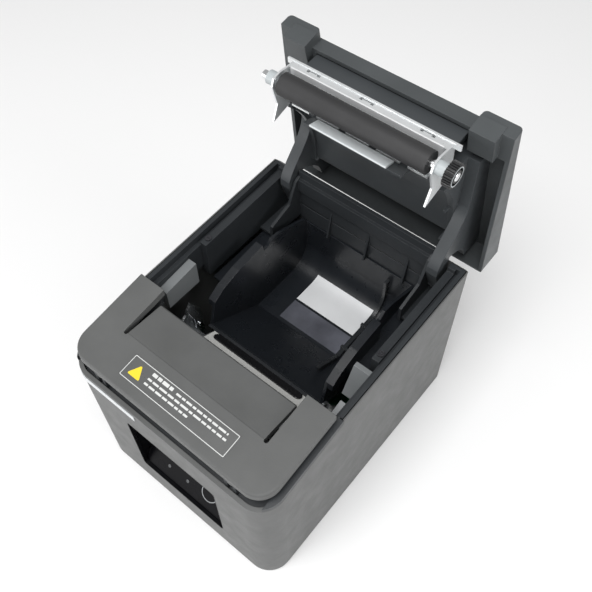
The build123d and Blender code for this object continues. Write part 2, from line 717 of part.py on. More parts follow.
with BuildPart() as main_board:
    with BuildSketch(top_plane(BOARD_Z)):
        box_between(-BOARD_X - 5, BOARD_X + 5, BOARD_Y[0] - 5, BOARD_Y[1] + 3)
        with Locations(*[(x, y) for x in (-BOARD_X, BOARD_X) for y in BOARD_Y]):
            Circle(1.3, mode=Mode.SUBTRACT)
    extrude(amount=BOARD_THICK)
    # Chips, capacitors and the ribbon socket
    with BuildSketch(top_plane(BOARD_Z + BOARD_THICK)):
        with Locations((-8, 22)):
            Rectangle(16, 16)
        with Locations((22, 34), (22, 14)):
            Rectangle(10, 8)
    extrude(amount=1.4)
    with BuildSketch(top_plane(BOARD_Z + BOARD_THICK)):
        with Locations((-38, 46), (-38, 32), (-24, 50)):
            Circle(5)
    extrude(amount=14)
    with BuildSketch(top_plane(BOARD_Z + BOARD_THICK)):
        with Locations((0, -18)):
            Rectangle(30, 5)
    extrude(amount=6)
main_board.part.label = "main_board"
export_step(main_board.part, "parts/main_board.step")

with BuildPart() as board_screws:
    with BuildSketch(top_plane(BOARD_Z + BOARD_THICK)):
        with Locations(*[(x, y) for x in (-BOARD_X, BOARD_X) for y in BOARD_Y]):
            Circle(2.4)
    extrude(amount=1.6)
    with BuildSketch(top_plane(BOARD_Z + BOARD_THICK)):
        with Locations(*[(x, y) for x in (-BOARD_X, BOARD_X) for y in BOARD_Y]):
            Circle(1.2)
    extrude(amount=-5.0)
board_screws.part.label = "board_screws"
export_step(board_screws.part, "parts/board_screws.step")

PANEL_BACK_Y = REAR - 4.0
PORTS = {
    "usb_port": (3.0, 12.0, 11.0, 1.2),
    "lan_port": (22.0, 16.0, 13.5, 1.3),
    "cash_drawer_port": (42.0, 13.5, 12.0, 1.3),
}
PORT_DEPTH = 14.0
SWITCH_X = -38.0
SWITCH_WIDTH = 13.0
SWITCH_HEIGHT = 19.0
DC_X = -15.0
DC_R = 6.0

with BuildPart() as rear_panel:
    with BuildSketch(front_plane(REAR - 0.6)):
        with Locations((0, PORT_PANEL_Z)):
            RectangleRounded(PORT_PANEL_WIDTH - 0.6, PORT_PANEL_HEIGHT - 0.6, 1.7)
    extrude(amount=REAR - 0.6 - PANEL_BACK_Y)
    with BuildSketch(front_plane(REAR)):
        for x, width, height, wall in PORTS.values():
            with Locations((x, PORT_PANEL_Z)):
                Rectangle(width + 0.4, height + 0.4)
        with Locations((SWITCH_X, PORT_PANEL_Z)):
            Rectangle(SWITCH_WIDTH + 0.4, SWITCH_HEIGHT + 0.4)
        with Locations((DC_X, PORT_PANEL_Z)):
            Circle(DC_R + 0.2)
    extrude(amount=3 * WALL, mode=Mode.SUBTRACT)
rear_panel.part.label = "rear_panel"
export_step(rear_panel.part, "parts/rear_panel.step")

for port_name, (x, width, height, wall) in PORTS.items():
    with BuildPart() as port:
        with BuildSketch(front_plane(REAR - 1.0)):
            with Locations((x, PORT_PANEL_Z)):
                Rectangle(width, height)
        extrude(amount=PORT_DEPTH)
        with BuildSketch(front_plane(REAR - 1.0)):
            with Locations((x, PORT_PANEL_Z)):
                Rectangle(width - 2 * wall, height - 2 * wall)
        extrude(amount=PORT_DEPTH - 1.5, mode=Mode.SUBTRACT)
    port.part.label = port_name
    export_step(port.part, f"parts/{port_name}.step")

with BuildPart() as dc_inlet:
    with BuildSketch(front_plane(REAR - 1.0)):
        with Locations((DC_X, PORT_PANEL_Z)):
            Circle(DC_R)
    extrude(amount=PORT_DEPTH)
    with BuildSketch(front_plane(REAR - 1.0)):
        with Locations((DC_X, PORT_PANEL_Z)):
            Circle(DC_R - 1.4)
            Circle(1.0, mode=Mode.SUBTRACT)
    extrude(amount=PORT_DEPTH - 3, mode=Mode.SUBTRACT)
dc_inlet.part.label = "dc_inlet"
export_step(dc_inlet.part, "parts/dc_inlet.step")

ROCKER_Y = REAR - 5.0
ROCKER_PIN_R = 0.75
ROCKER_R = 5.2
ROCKER_TILT = 7.0

with BuildPart() as switch_body:
    with BuildSketch(front_plane(REAR - 1.0)):
        with Locations((SWITCH_X, PORT_PANEL_Z)):
            Rectangle(SWITCH_WIDTH, SWITCH_HEIGHT)
    extrude(amount=13.0)
    with BuildSketch(front_plane(REAR - 1.0)):
        with Locations((SWITCH_X, PORT_PANEL_Z)):
            Rectangle(SWITCH_WIDTH - 3, SWITCH_HEIGHT - 3)
    extrude(amount=10.0, mode=Mode.SUBTRACT)
    with BuildSketch(side_plane(SWITCH_X - SWITCH_WIDTH / 2)):
        with Locations((ROCKER_Y, PORT_PANEL_Z)):
            Circle(ROCKER_PIN_R)
    extrude(amount=SWITCH_WIDTH)
switch_body.part.label = "switch_body"
export_step(switch_body.part, "parts/switch_body.step")

with BuildPart() as power_rocker:
    slab(SWITCH_X - SWITCH_WIDTH / 2 + 1.9, SWITCH_X + SWITCH_WIDTH / 2 - 1.9, [
        (ROCKER_Y, PORT_PANEL_Z - 7.2),
        (ROCKER_Y + 5.2, PORT_PANEL_Z - 7.0),
        (ROCKER_Y + 4.0, PORT_PANEL_Z),
        (ROCKER_Y + 5.2, PORT_PANEL_Z + 7.0),
        (ROCKER_Y, PORT_PANEL_Z + 7.2),
    ])
    with BuildSketch(side_plane(SWITCH_X - SWITCH_WIDTH / 2 + 1.9)):
        with Locations((ROCKER_Y, PORT_PANEL_Z)):
            Circle(ROCKER_PIN_R + 1.2)
    extrude(amount=SWITCH_WIDTH - 3.8)
    with BuildSketch(side_plane(SWITCH_X - SWITCH_WIDTH)):
        with Locations((ROCKER_Y, PORT_PANEL_Z)):
            Circle(ROCKER_PIN_R + RUNNING_FIT)
    extrude(amount=2 * SWITCH_WIDTH, mode=Mode.SUBTRACT)
power_rocker.part = power_rocker.part.rotate(
    Axis((0, ROCKER_Y, PORT_PANEL_Z), (1, 0, 0)), -ROCKER_TILT)
power_rocker.part.label = "power_rocker"
export_step(power_rocker.part, "parts/power_rocker.step")

# ---------------------------------------------------------------- print head and drive

head_dir = (math.cos(math.radians(HEAD_TILT)), -math.sin(math.radians(HEAD_TILT)))
HEAD_REACH = PLATEN_R + HEAD_GAP
HEAD_Y = PLATEN_Y + HEAD_REACH * head_dir[1]
HEAD_Z = PLATEN_Z - HEAD_REACH * head_dir[0]
head_plane = Plane(origin=(0, HEAD_Y, HEAD_Z), x_dir=(1, 0, 0), z_dir=(0, -head_dir[1], head_dir[0]))
HEAD_HALF = 38.0
HEAD_FRONT = -4.5
HEAD_BACK = 16.5
HEAD_THICK = 1.6
SINK_THICK = 4.0

with BuildPart() as thermal_head:
    with BuildSketch(head_plane):
        box_between(-HEAD_HALF, HEAD_HALF, HEAD_FRONT, HEAD_BACK)
    extrude(amount=-HEAD_THICK)
    chamfer(thermal_head.edges().filter_by(Axis.X).sort_by(Axis.Y)[-2:], 0.4)
thermal_head.part.label = "thermal_head"
export_step(thermal_head.part, "parts/thermal_head.step")

with BuildPart() as head_chip_cover:
    with BuildSketch(head_plane):
        with Locations((0, 12.6)):
            SlotOverall(70, 6.6)
    extrude(amount=0.9)
    fillet(head_chip_cover.faces().sort_by(Axis.Z)[-1].edges(), 0.4)
head_chip_cover.part.label = "head_chip_cover"
export_step(head_chip_cover.part, "parts/head_chip_cover.step")

HEAD_PIVOT = (HEAD_FRONT + 1.5, -HEAD_THICK - SINK_THICK - 1.0)


def on_head(along, up):
    """Point (y, z) at a distance along the head's surface and above it."""
    return (HEAD_Y + along * head_dir[0] - up * head_dir[1], HEAD_Z + along * head_dir[1] + up * head_dir[0])


HEAD_PIVOT_Y, HEAD_PIVOT_Z = on_head(*HEAD_PIVOT)

with BuildPart() as heat_sink:
    with BuildSketch(head_plane.offset(-HEAD_THICK)):
        box_between(-HEAD_HALF - 2, HEAD_HALF + 2, HEAD_FRONT, HEAD_BACK - 1.5)
    extrude(amount=-SINK_THICK)
    slab_pair(30, 33, [
        on_head(HEAD_FRONT - 1.0, -HEAD_THICK - SINK_THICK + 0.5),
        on_head(HEAD_FRONT + 4.5, -HEAD_THICK - SINK_THICK + 0.5),
        on_head(HEAD_FRONT + 4.5, -HEAD_THICK - SINK_THICK - 3.5),
        on_head(HEAD_FRONT - 1.0, -HEAD_THICK - SINK_THICK - 3.5),
    ])
    with BuildSketch(side_plane(-SIDE)):
        with Locations((HEAD_PIVOT_Y, HEAD_PIVOT_Z)):
            Circle(1.5 + RUNNING_FIT)
    extrude(amount=WIDTH, mode=Mode.SUBTRACT)
heat_sink.part.label = "heat_sink"
export_step(heat_sink.part, "parts/heat_sink.step")

PLATE_INNER = 54.0
PLATE_OUTER = 55.5
IDLER_DISTANCE = gear_tip(PLATEN_TEETH) + gear_tip(IDLER_TEETH) + TIP_CLEARANCE
IDLER_ANGLE = math.radians(-74.0)
IDLER_Y = PLATEN_Y + IDLER_DISTANCE * math.cos(IDLER_ANGLE)
IDLER_Z = PLATEN_Z + IDLER_DISTANCE * math.sin(IDLER_ANGLE)
PINION_ANGLE = math.radians(216.0)
PINION_Y = IDLER_Y + spaced(WHEEL_TEETH, PINION_TEETH) * math.cos(PINION_ANGLE)
PINION_Z = IDLER_Z + spaced(WHEEL_TEETH, PINION_TEETH) * math.sin(PINION_ANGLE)
MOTOR_R = 12.5
MOTOR_LENGTH = 20.0
MOTOR_SHAFT_R = 1.0
IDLER_PIN_R = 1.5
BUSHING_R = 4.0
CHASSIS_FLOOR_Z = 60.0
CHASSIS_FRONT_Y = -59.0
LATCH_PIVOT_Y = PLATEN_Y + 11.0
LATCH_PIVOT_Z = 74.0
LATCH_PIN_R = 1.2
SPRING_X = (-24.0, 0.0, 24.0)
SPRING_R = 2.6
SPRING_WIRE = 0.35

plate_profile = [
    (CHASSIS_FRONT_Y, CHASSIS_FLOOR_Z - 2),
    (-9.0, CHASSIS_FLOOR_Z - 2),
    (-9.0, 84.0),
    (-14.0, 92.0),
    (PLATEN_Y + 8.5, 97.0),
    (PLATEN_Y + 4.6, PLATEN_Z),
    (PLATEN_Y + 3.2, PLATEN_Z - 3.3),
    (PLATEN_Y, PLATEN_Z - BUSHING_R - 0.6),
    (PLATEN_Y - 3.2, PLATEN_Z - 3.3),
    (PLATEN_Y - 4.6, PLATEN_Z),
    (PLATEN_Y - 6.0, 97.0),
    (-33.5, 91.2),
    (CHASSIS_FRONT_Y, 91.2),
]

with BuildPart() as mech_frame:
    slab_pair(PLATE_INNER, PLATE_OUTER, plate_profile)
    slab(-PLATE_INNER, PLATE_INNER, [
        (CHASSIS_FRONT_Y, CHASSIS_FLOOR_Z - 2),
        (-12.0, CHASSIS_FLOOR_Z - 2),
        (-12.0, CHASSIS_FLOOR_Z - 0.5),
        (CHASSIS_FRONT_Y, CHASSIS_FLOOR_Z - 0.5),
    ])
    # Clearance holes for the motor, its pinion and the drive gear, and holes for the pins
    with BuildSketch(side_plane(PLATE_INNER)):
        with Locations((PINION_Y, PINION_Z)):
            Circle(3.0)
        with Locations((IDLER_Y, IDLER_Z)):
            Circle(IDLER_PIN_R)
    extrude(amount=PLATE_OUTER - PLATE_INNER, mode=Mode.SUBTRACT)
    with BuildSketch(side_plane(-PLATE_OUTER)):
        with Locations((HEAD_PIVOT_Y, HEAD_PIVOT_Z)):
            Circle(1.5)
        with Locations((LATCH_PIVOT_Y, LATCH_PIVOT_Z)):
            Circle(LATCH_PIN_R)
    extrude(amount=2 * PLATE_OUTER, mode=Mode.SUBTRACT)
    # The motor stands through the chassis floor
    with BuildSketch(top_plane(CHASSIS_FLOOR_Z - 4)):
        box_between(30, PLATE_INNER - 0.1, PINION_Y - MOTOR_R - 1, PINION_Y + MOTOR_R + 1)
    extrude(amount=4, mode=Mode.SUBTRACT)
    # Legs down to the base
    for x in (-44.0, 24.0):
        slab(x, x + 6, [
            (CHASSIS_FRONT_Y + 4, FLOOR_TOP),
            (CHASSIS_FRONT_Y + 10, FLOOR_TOP),
            (CHASSIS_FRONT_Y + 10, CHASSIS_FLOOR_Z - 2),
            (CHASSIS_FRONT_Y + 4, CHASSIS_FLOOR_Z - 2),
        ])
mech_frame.part.label = "mech_frame"
export_step(mech_frame.part, "parts/mech_frame.step")

with BuildPart() as head_pivot_rod:
    with BuildSketch(side_plane(-PLATE_OUTER)):
        with Locations((HEAD_PIVOT_Y, HEAD_PIVOT_Z)):
            Circle(1.5)
    extrude(amount=2 * PLATE_OUTER)
head_pivot_rod.part.label = "head_pivot_rod"
export_step(head_pivot_rod.part, "parts/head_pivot_rod.step")

SPRING_TOP_Y, SPRING_TOP_Z = on_head(6.0, -HEAD_THICK - SINK_THICK - 1.2)

with BuildPart() as head_springs:
    for x in SPRING_X:
        with BuildSketch(Plane(origin=(x, SPRING_TOP_Y, CHASSIS_FLOOR_Z - 0.5))):
            Circle(SPRING_R)
            Circle(SPRING_R - 2 * SPRING_WIRE, mode=Mode.SUBTRACT)
        extrude(amount=SPRING_TOP_Z - CHASSIS_FLOOR_Z - 1.0)
head_springs.part.label = "head_springs"
export_step(head_springs.part, "parts/head_springs.step")

with BuildPart() as feed_motor:
    with BuildSketch(side_plane(PLATE_INNER - MOTOR_LENGTH)):
        with Locations((PINION_Y, PINION_Z)):
            Circle(MOTOR_R)
    extrude(amount=MOTOR_LENGTH - 0.1)
    fillet(feed_motor.edges().sort_by(Axis.X)[0], 1.0)
    with BuildSketch(side_plane(PLATE_INNER - 0.5)):
        with Locations((PINION_Y, PINION_Z)):
            Circle(2.8)
            Circle(MOTOR_SHAFT_R + RUNNING_FIT, mode=Mode.SUBTRACT)
    extrude(amount=2.2)
    with BuildSketch(side_plane(PLATE_INNER + 2.2)):
        with Locations((PINION_Y, PINION_Z)):
            Circle(MOTOR_SHAFT_R + RUNNING_FIT)
    extrude(amount=-8.0, mode=Mode.SUBTRACT)
feed_motor.part.label = "feed_motor"
export_step(feed_motor.part, "parts/feed_motor.step")

WHEEL_X = 63.2
WHEEL_THICK = 3.0
IDLER_X = 57.2
GEAR_WIDTH = 5.0

with BuildPart() as motor_pinion:
    with BuildSketch(side_plane(WHEEL_X - 0.5)):
        with Locations(Location((PINION_Y, PINION_Z), math.degrees(PINION_ANGLE) + 180)):
            Polygon(*gear_points(PINION_TEETH), align=None)
    extrude(amount=WHEEL_THICK + 1.0)
    with BuildSketch(side_plane(PLATE_INNER - 5)):
        with Locations((PINION_Y, PINION_Z)):
            Circle(MOTOR_SHAFT_R)
    extrude(amount=WHEEL_X + WHEEL_THICK - PLATE_INNER + 5)
motor_pinion.part.label = "motor_pinion"
export_step(motor_pinion.part, "parts/motor_pinion.step")

with BuildPart() as drive_gear:
    with BuildSketch(side_plane(WHEEL_X)):
        with Locations(Location((IDLER_Y, IDLER_Z), math.degrees(PINION_ANGLE) + 180 / WHEEL_TEETH)):
            Polygon(*gear_points(WHEEL_TEETH), align=None)
        with Locations((IDLER_Y, IDLER_Z)):
            with PolarLocations(10.0, 5):
                Circle(2.8, mode=Mode.SUBTRACT)
    extrude(amount=WHEEL_THICK)
    with BuildSketch(side_plane(IDLER_X)):
        with Locations((IDLER_Y, IDLER_Z)):
            Polygon(*gear_points(IDLER_TEETH), align=None)
    extrude(amount=GEAR_WIDTH)
    with BuildSketch(side_plane(IDLER_X)):
        with Locations((IDLER_Y, IDLER_Z)):
            Circle(5.0)
    extrude(amount=WHEEL_X - IDLER_X + 0.5)
    with BuildSketch(side_plane(IDLER_X - 1)):
        with Locations((IDLER_Y, IDLER_Z)):
            Circle(IDLER_PIN_R + RUNNING_FIT)
    extrude(amount=WHEEL_X, mode=Mode.SUBTRACT)
drive_gear.part.label = "drive_gear"
export_step(drive_gear.part, "parts/drive_gear.step")

with BuildPart() as gear_pin:
    with BuildSketch(side_plane(PLATE_INNER)):
        with Locations((IDLER_Y, IDLER_Z)):
            Circle(IDLER_PIN_R)
    extrude(amount=WHEEL_X + WHEEL_THICK + 1.2 - PLATE_INNER)
    with BuildSketch(side_plane(WHEEL_X + WHEEL_THICK + 0.4)):
        with Locations((IDLER_Y, IDLER_Z)):
            Circle(2.6)
    extrude(amount=0.8)
gear_pin.part.label = "gear_pin"
export_step(gear_pin.part, "parts/gear_pin.step")

# ---------------------------------------------------------------- paper cutter

CUTTER_HALF = 51.0
CUTTER_FRONT_Y = -78.0
CUTTER_REAR_Y = -33.0
CUTTER_LID_Y = -48.0
BLADE_Z = 99.1
BLADE_THICK = 0.8
BLADE_HALF = 46.0
BLADE_TRAVEL = 8.0
CUTTER_GEAR_Y = -66.0
RACK_X = 14.0
RACK_WIDTH = 4.0
RACK_LENGTH = 20.0
CUTTER_GEAR_X = RACK_X + MODULE * CUTTER_TEETH / 2 + RUNNING_FIT
CUTTER_MOTOR_R = 8.0

with BuildPart() as cutter_body:
    slab(-CUTTER_HALF, CUTTER_HALF, [
        (CUTTER_FRONT_Y, 91.5),
        (CUTTER_REAR_Y, 91.5),
        (CUTTER_REAR_Y, BLADE_Z - 0.3),
        (CUTTER_FRONT_Y, BLADE_Z - 0.3),
    ])
    for inner, bottom in ((BLADE_HALF + 0.5, BLADE_Z - 1), (0, BLADE_Z + BLADE_THICK + 0.3)):
        slab_pair(inner, CUTTER_HALF, [
            (CUTTER_LID_Y, bottom),
            (CUTTER_REAR_Y, bottom),
            (CUTTER_REAR_Y, 102.5),
            (CUTTER_LID_Y, 106.0),
        ])
    with BuildSketch(top_plane(90.0)):
        with Locations((CUTTER_GEAR_X, CUTTER_GEAR_Y)):
            Circle(CUTTER_MOTOR_R + 0.2)
    extrude(amount=7.0, mode=Mode.SUBTRACT)
    with BuildSketch(top_plane(90.0)):
        with Locations((CUTTER_GEAR_X, CUTTER_GEAR_Y)):
            Circle(2.0)
    extrude(amount=TALL, mode=Mode.SUBTRACT)
cutter_body.part.label = "cutter_body"
export_step(cutter_body.part, "parts/cutter_body.step")

with BuildPart() as moving_blade:
    with BuildSketch(top_plane(BLADE_Z)):
        Polygon(
            (-BLADE_HALF, -55.0),
            (BLADE_HALF, -55.0),
            (BLADE_HALF, CUTTER_REAR_Y - 0.5),
            (0, CUTTER_REAR_Y - 5.0),
            (-BLADE_HALF, CUTTER_REAR_Y - 0.5),
            align=None,
        )
        box_between(RACK_X - RACK_WIDTH, RACK_X - MODULE, CUTTER_GEAR_Y - RACK_LENGTH / 2 - 2, -54.0)
    extrude(amount=BLADE_THICK)
    with BuildSketch(top_plane(BLADE_Z)):
        box_between(RACK_X - RACK_WIDTH, RACK_X - 1.2 * MODULE,
                    CUTTER_GEAR_Y - RACK_LENGTH / 2 - 2, CUTTER_GEAR_Y + RACK_LENGTH / 2 - 2)
        pitch = math.pi * MODULE
        for tooth in range(-6, 5):
            middle = CUTTER_GEAR_Y + (tooth + 0.5) * pitch
            slope = math.tan(PRESSURE_ANGLE) * MODULE
            Polygon(
                (RACK_X - 1.3 * MODULE, middle - pitch / 4 - slope + 0.05),
                (RACK_X + 0.9 * MODULE, middle - pitch / 4 + slope + 0.05),
                (RACK_X + 0.9 * MODULE, middle + pitch / 4 - slope - 0.05),
                (RACK_X - 1.3 * MODULE, middle + pitch / 4 + slope - 0.05),
                align=None,
            )
    extrude(amount=3.0)
moving_blade.part.label = "moving_blade"
export_step(moving_blade.part, "parts/moving_blade.step")

with BuildPart() as cutter_gear:
    with BuildSketch(top_plane(BLADE_Z)):
        with Locations(Location((CUTTER_GEAR_X, CUTTER_GEAR_Y), 180.0)):
            Polygon(*gear_points(CUTTER_TEETH), align=None)
    extrude(amount=3.0)
    with BuildSketch(top_plane(BLADE_Z)):
        with Locations((CUTTER_GEAR_X, CUTTER_GEAR_Y)):
            Circle(1.5)
    extrude(amount=-9.0)
cutter_gear.part.label = "cutter_gear"
export_step(cutter_gear.part, "parts/cutter_gear.step")

with BuildPart() as cutter_motor:
    with BuildSketch(top_plane(BLADE_Z - 2.2)):
        with Locations((CUTTER_GEAR_X, CUTTER_GEAR_Y)):
            Circle(CUTTER_MOTOR_R)
    extrude(amount=-10.0)
    with BuildSketch(top_plane(BLADE_Z - 2.2)):
        with Locations((CUTTER_GEAR_X, CUTTER_GEAR_Y)):
            Circle(1.5 + RUNNING_FIT)
    extrude(amount=-8.0, mode=Mode.SUBTRACT)
cutter_motor.part.label = "cutter_motor"
export_step(cutter_motor.part, "parts/cutter_motor.step")

# ---------------------------------------------------------------- latches beside the print head

LATCH_INNER = 51.8
LATCH_OUTER = 53.4

latch_profile = [
    (LATCH_PIVOT_Y - 3.0, LATCH_PIVOT_Z - 3.0),
    (LATCH_PIVOT_Y + 3.0, LATCH_PIVOT_Z - 3.0),
    (LATCH_PIVOT_Y + 3.0, LATCH_PIVOT_Z + 6.0),
    (PLATEN_Y + 9.0, PLATEN_Z - 2.0),
    (PLATEN_Y + 9.5, PLATEN_Z + 4.0),
    (PLATEN_Y + 6.0, PLATEN_Z + 6.5),
    (PLATEN_Y + 3.4, PLATEN_Z + 4.2),
    (PLATEN_Y + 4.8, PLATEN_Z - 2.0),
    (LATCH_PIVOT_Y - 3.0, LATCH_PIVOT_Z + 6.0),
]

for latch_name, x in (("latch_left", -LATCH_OUTER), ("latch_right", LATCH_INNER)):
    with BuildPart() as latch:
        slab(x, x + LATCH_OUTER - LATCH_INNER, latch_profile)
        with BuildSketch(side_plane(-SIDE)):
            with Locations((LATCH_PIVOT_Y, LATCH_PIVOT_Z)):
                Circle(LATCH_PIN_R + RUNNING_FIT)
        extrude(amount=WIDTH, mode=Mode.SUBTRACT)
    latch.part.label = latch_name
    export_step(latch.part, f"parts/{latch_name}.step")

with BuildPart() as latch_pins:
    for x in (-PLATE_OUTER, LATCH_INNER - 1.0):
        with BuildSketch(side_plane(x)):
            with Locations((LATCH_PIVOT_Y, LATCH_PIVOT_Z)):
                Circle(LATCH_PIN_R)
        extrude(amount=PLATE_OUTER - LATCH_INNER + 1.0)
latch_pins.part.label = "latch_pins"
export_step(latch_pins.part, "parts/latch_pins.step")

# Guides that stand in the mouth beside the mechanism
with BuildPart() as side_guides:
    slab(-MOUTH_FRONT_HALF + 0.1, -61.2, [
        (-26.0, 97.0),
        (0.0, 97.0),
        (0.0, 115.5),
        (-26.0, 112.5),
    ])
    slab(63.0, MOUTH_FRONT_HALF - 0.1, [
        (-27.0, 97.0),
        (-17.0, 97.0),
        (-17.0, 114.0),
        (-27.0, 111.5),
    ])
    slab(56.0, MOUTH_FRONT_HALF - 0.1, [
        (-6.0, 97.0),
        (7.0, 97.0),
        (7.0, 115.5),
        (4.0, 115.5),
    ])
side_guides.part.label = "side_guides"
export_step(side_guides.part, "parts/side_guides.step")

# ---------------------------------------------------------------- front cover

slope_angle = math.atan(TOP_SLOPE)
slope_plane = Plane(
    origin=(0, FRONT, TOP_FRONT_Z),
    x_dir=(1, 0, 0),
    z_dir=(0, -math.sin(slope_angle), math.cos(slope_angle)),
)
slope_axis = Axis(slope_plane.origin, slope_plane.z_dir)
COVER_EDGE_R = 1.4
LUG_INNER = 47.0
LUG_OUTER = 50.0
COVER_PIN_R = 1.0


with BuildPart() as front_cover:
    with BuildSketch(top_plane(FRAME_BOTTOM)):
        box_between(-COVER_HALF, COVER_HALF, COVER_FRONT_Y, EAR_REAR_Y)
        fillet(vertices().group_by(Axis.Y)[0], COVER_CORNER_R)
    extrude(amount=60)
    with BuildSketch(side_plane(-SIDE)):
        Polygon(*top_slab(FRONT, 0, 0, COVER_THICK), align=None)
    extrude(amount=WIDTH, mode=Mode.INTERSECT)
    top_edges = front_cover.faces().sort_by(slope_axis)[-1].edges()
    fillet(top_edges.sort_by(Axis.Y)[:-1], COVER_EDGE_R)
    # The tongue is sunk between two slots
    with BuildSketch(top_plane(FRAME_BOTTOM)):
        box_between(-TONGUE_HALF - SLOT_WIDTH, TONGUE_HALF + SLOT_WIDTH, SLOT_FRONT_Y + 1.3, 0)
        with Locations((-TONGUE_HALF - SLOT_WIDTH / 2, SLOT_FRONT_Y + 1.3),
                       (TONGUE_HALF + SLOT_WIDTH / 2, SLOT_FRONT_Y + 1.3)):
            Circle(SLOT_WIDTH / 2)
    extrude(amount=60, mode=Mode.SUBTRACT)
    slab(-TONGUE_HALF, TONGUE_HALF, [
        (SLOT_FRONT_Y, top_z(SLOT_FRONT_Y) - COVER_THICK),
        (SLOT_FRONT_Y + 2, top_z(SLOT_FRONT_Y + 2) - COVER_THICK),
        (TONGUE_REAR_Y, TONGUE_REAR_Z - 4.5),
        (TONGUE_REAR_Y, TONGUE_REAR_Z - 1.0),
        (TONGUE_REAR_Y - 1.0, TONGUE_REAR_Z),
        (SLOT_FRONT_Y + 3, top_z(SLOT_FRONT_Y) - 0.1),
        (SLOT_FRONT_Y, top_z(SLOT_FRONT_Y)),
    ])
    # Lugs on the hinge pins
    slab_pair(LUG_INNER, LUG_OUTER, [
        (COVER_HINGE_Y - 1.8, COVER_HINGE_Z - 1.0),
        (COVER_HINGE_Y - 1.0, COVER_HINGE_Z - 1.8),
        (COVER_HINGE_Y + 1.0, COVER_HINGE_Z - 1.8),
        (COVER_HINGE_Y + 1.8, COVER_HINGE_Z - 1.0),
        (COVER_HINGE_Y + 1.8, COVER_HINGE_Z + 3.0),
        (COVER_HINGE_Y - 1.6, COVER_HINGE_Z + 3.0),
    ])
    with BuildSketch(side_plane(-SIDE)):
        with Locations((COVER_HINGE_Y, COVER_HINGE_Z)):
            Circle(COVER_PIN_R + RUNNING_FIT)
    extrude(amount=WIDTH, mode=Mode.SUBTRACT)
front_cover.part.label = "front_cover"
export_step(front_cover.part, "parts/front_cover.step")

with BuildPart() as cover_pins:
    for x in (-COVER_POST_X[3], COVER_POST_X[0]):
        with BuildSketch(side_plane(x)):
            with Locations((COVER_HINGE_Y, COVER_HINGE_Z)):
                Circle(COVER_PIN_R)
        extrude(amount=COVER_POST_X[3] - COVER_POST_X[0])
cover_pins.part.label = "cover_pins"
export_step(cover_pins.part, "parts/cover_pins.step")

with BuildPart() as cover_label:
    with BuildSketch(slope_plane.offset(0.02)):
        box_between(-37.0, 40.0, 8.6, 23.2)
    extrude(amount=0.12)
cover_label.part.label = "cover_label"
export_step(cover_label.part, "parts/cover_label.step")

with BuildPart() as badge:
    with BuildSketch(top_plane(100.5)):
        body_outline(-0.4)
        body_outline(0, mode=Mode.SUBTRACT)
        box_between(-21.0, WIDTH, -DEPTH, DEPTH, mode=Mode.SUBTRACT)
        box_between(-WIDTH, -66.0, -DEPTH, DEPTH, mode=Mode.SUBTRACT)
        box_between(-WIDTH, WIDTH, 0, DEPTH, mode=Mode.SUBTRACT)
    extrude(amount=4.5)
badge.part.label = "badge"
export_step(badge.part, "parts/badge.step")

# ---------------------------------------------------------------- lid, drawn closed

LID_SKIN = 2.5
LID_EDGE_R = 2.5
EAR_STEP_Y = -13.0
EAR_LEAN = 2.0

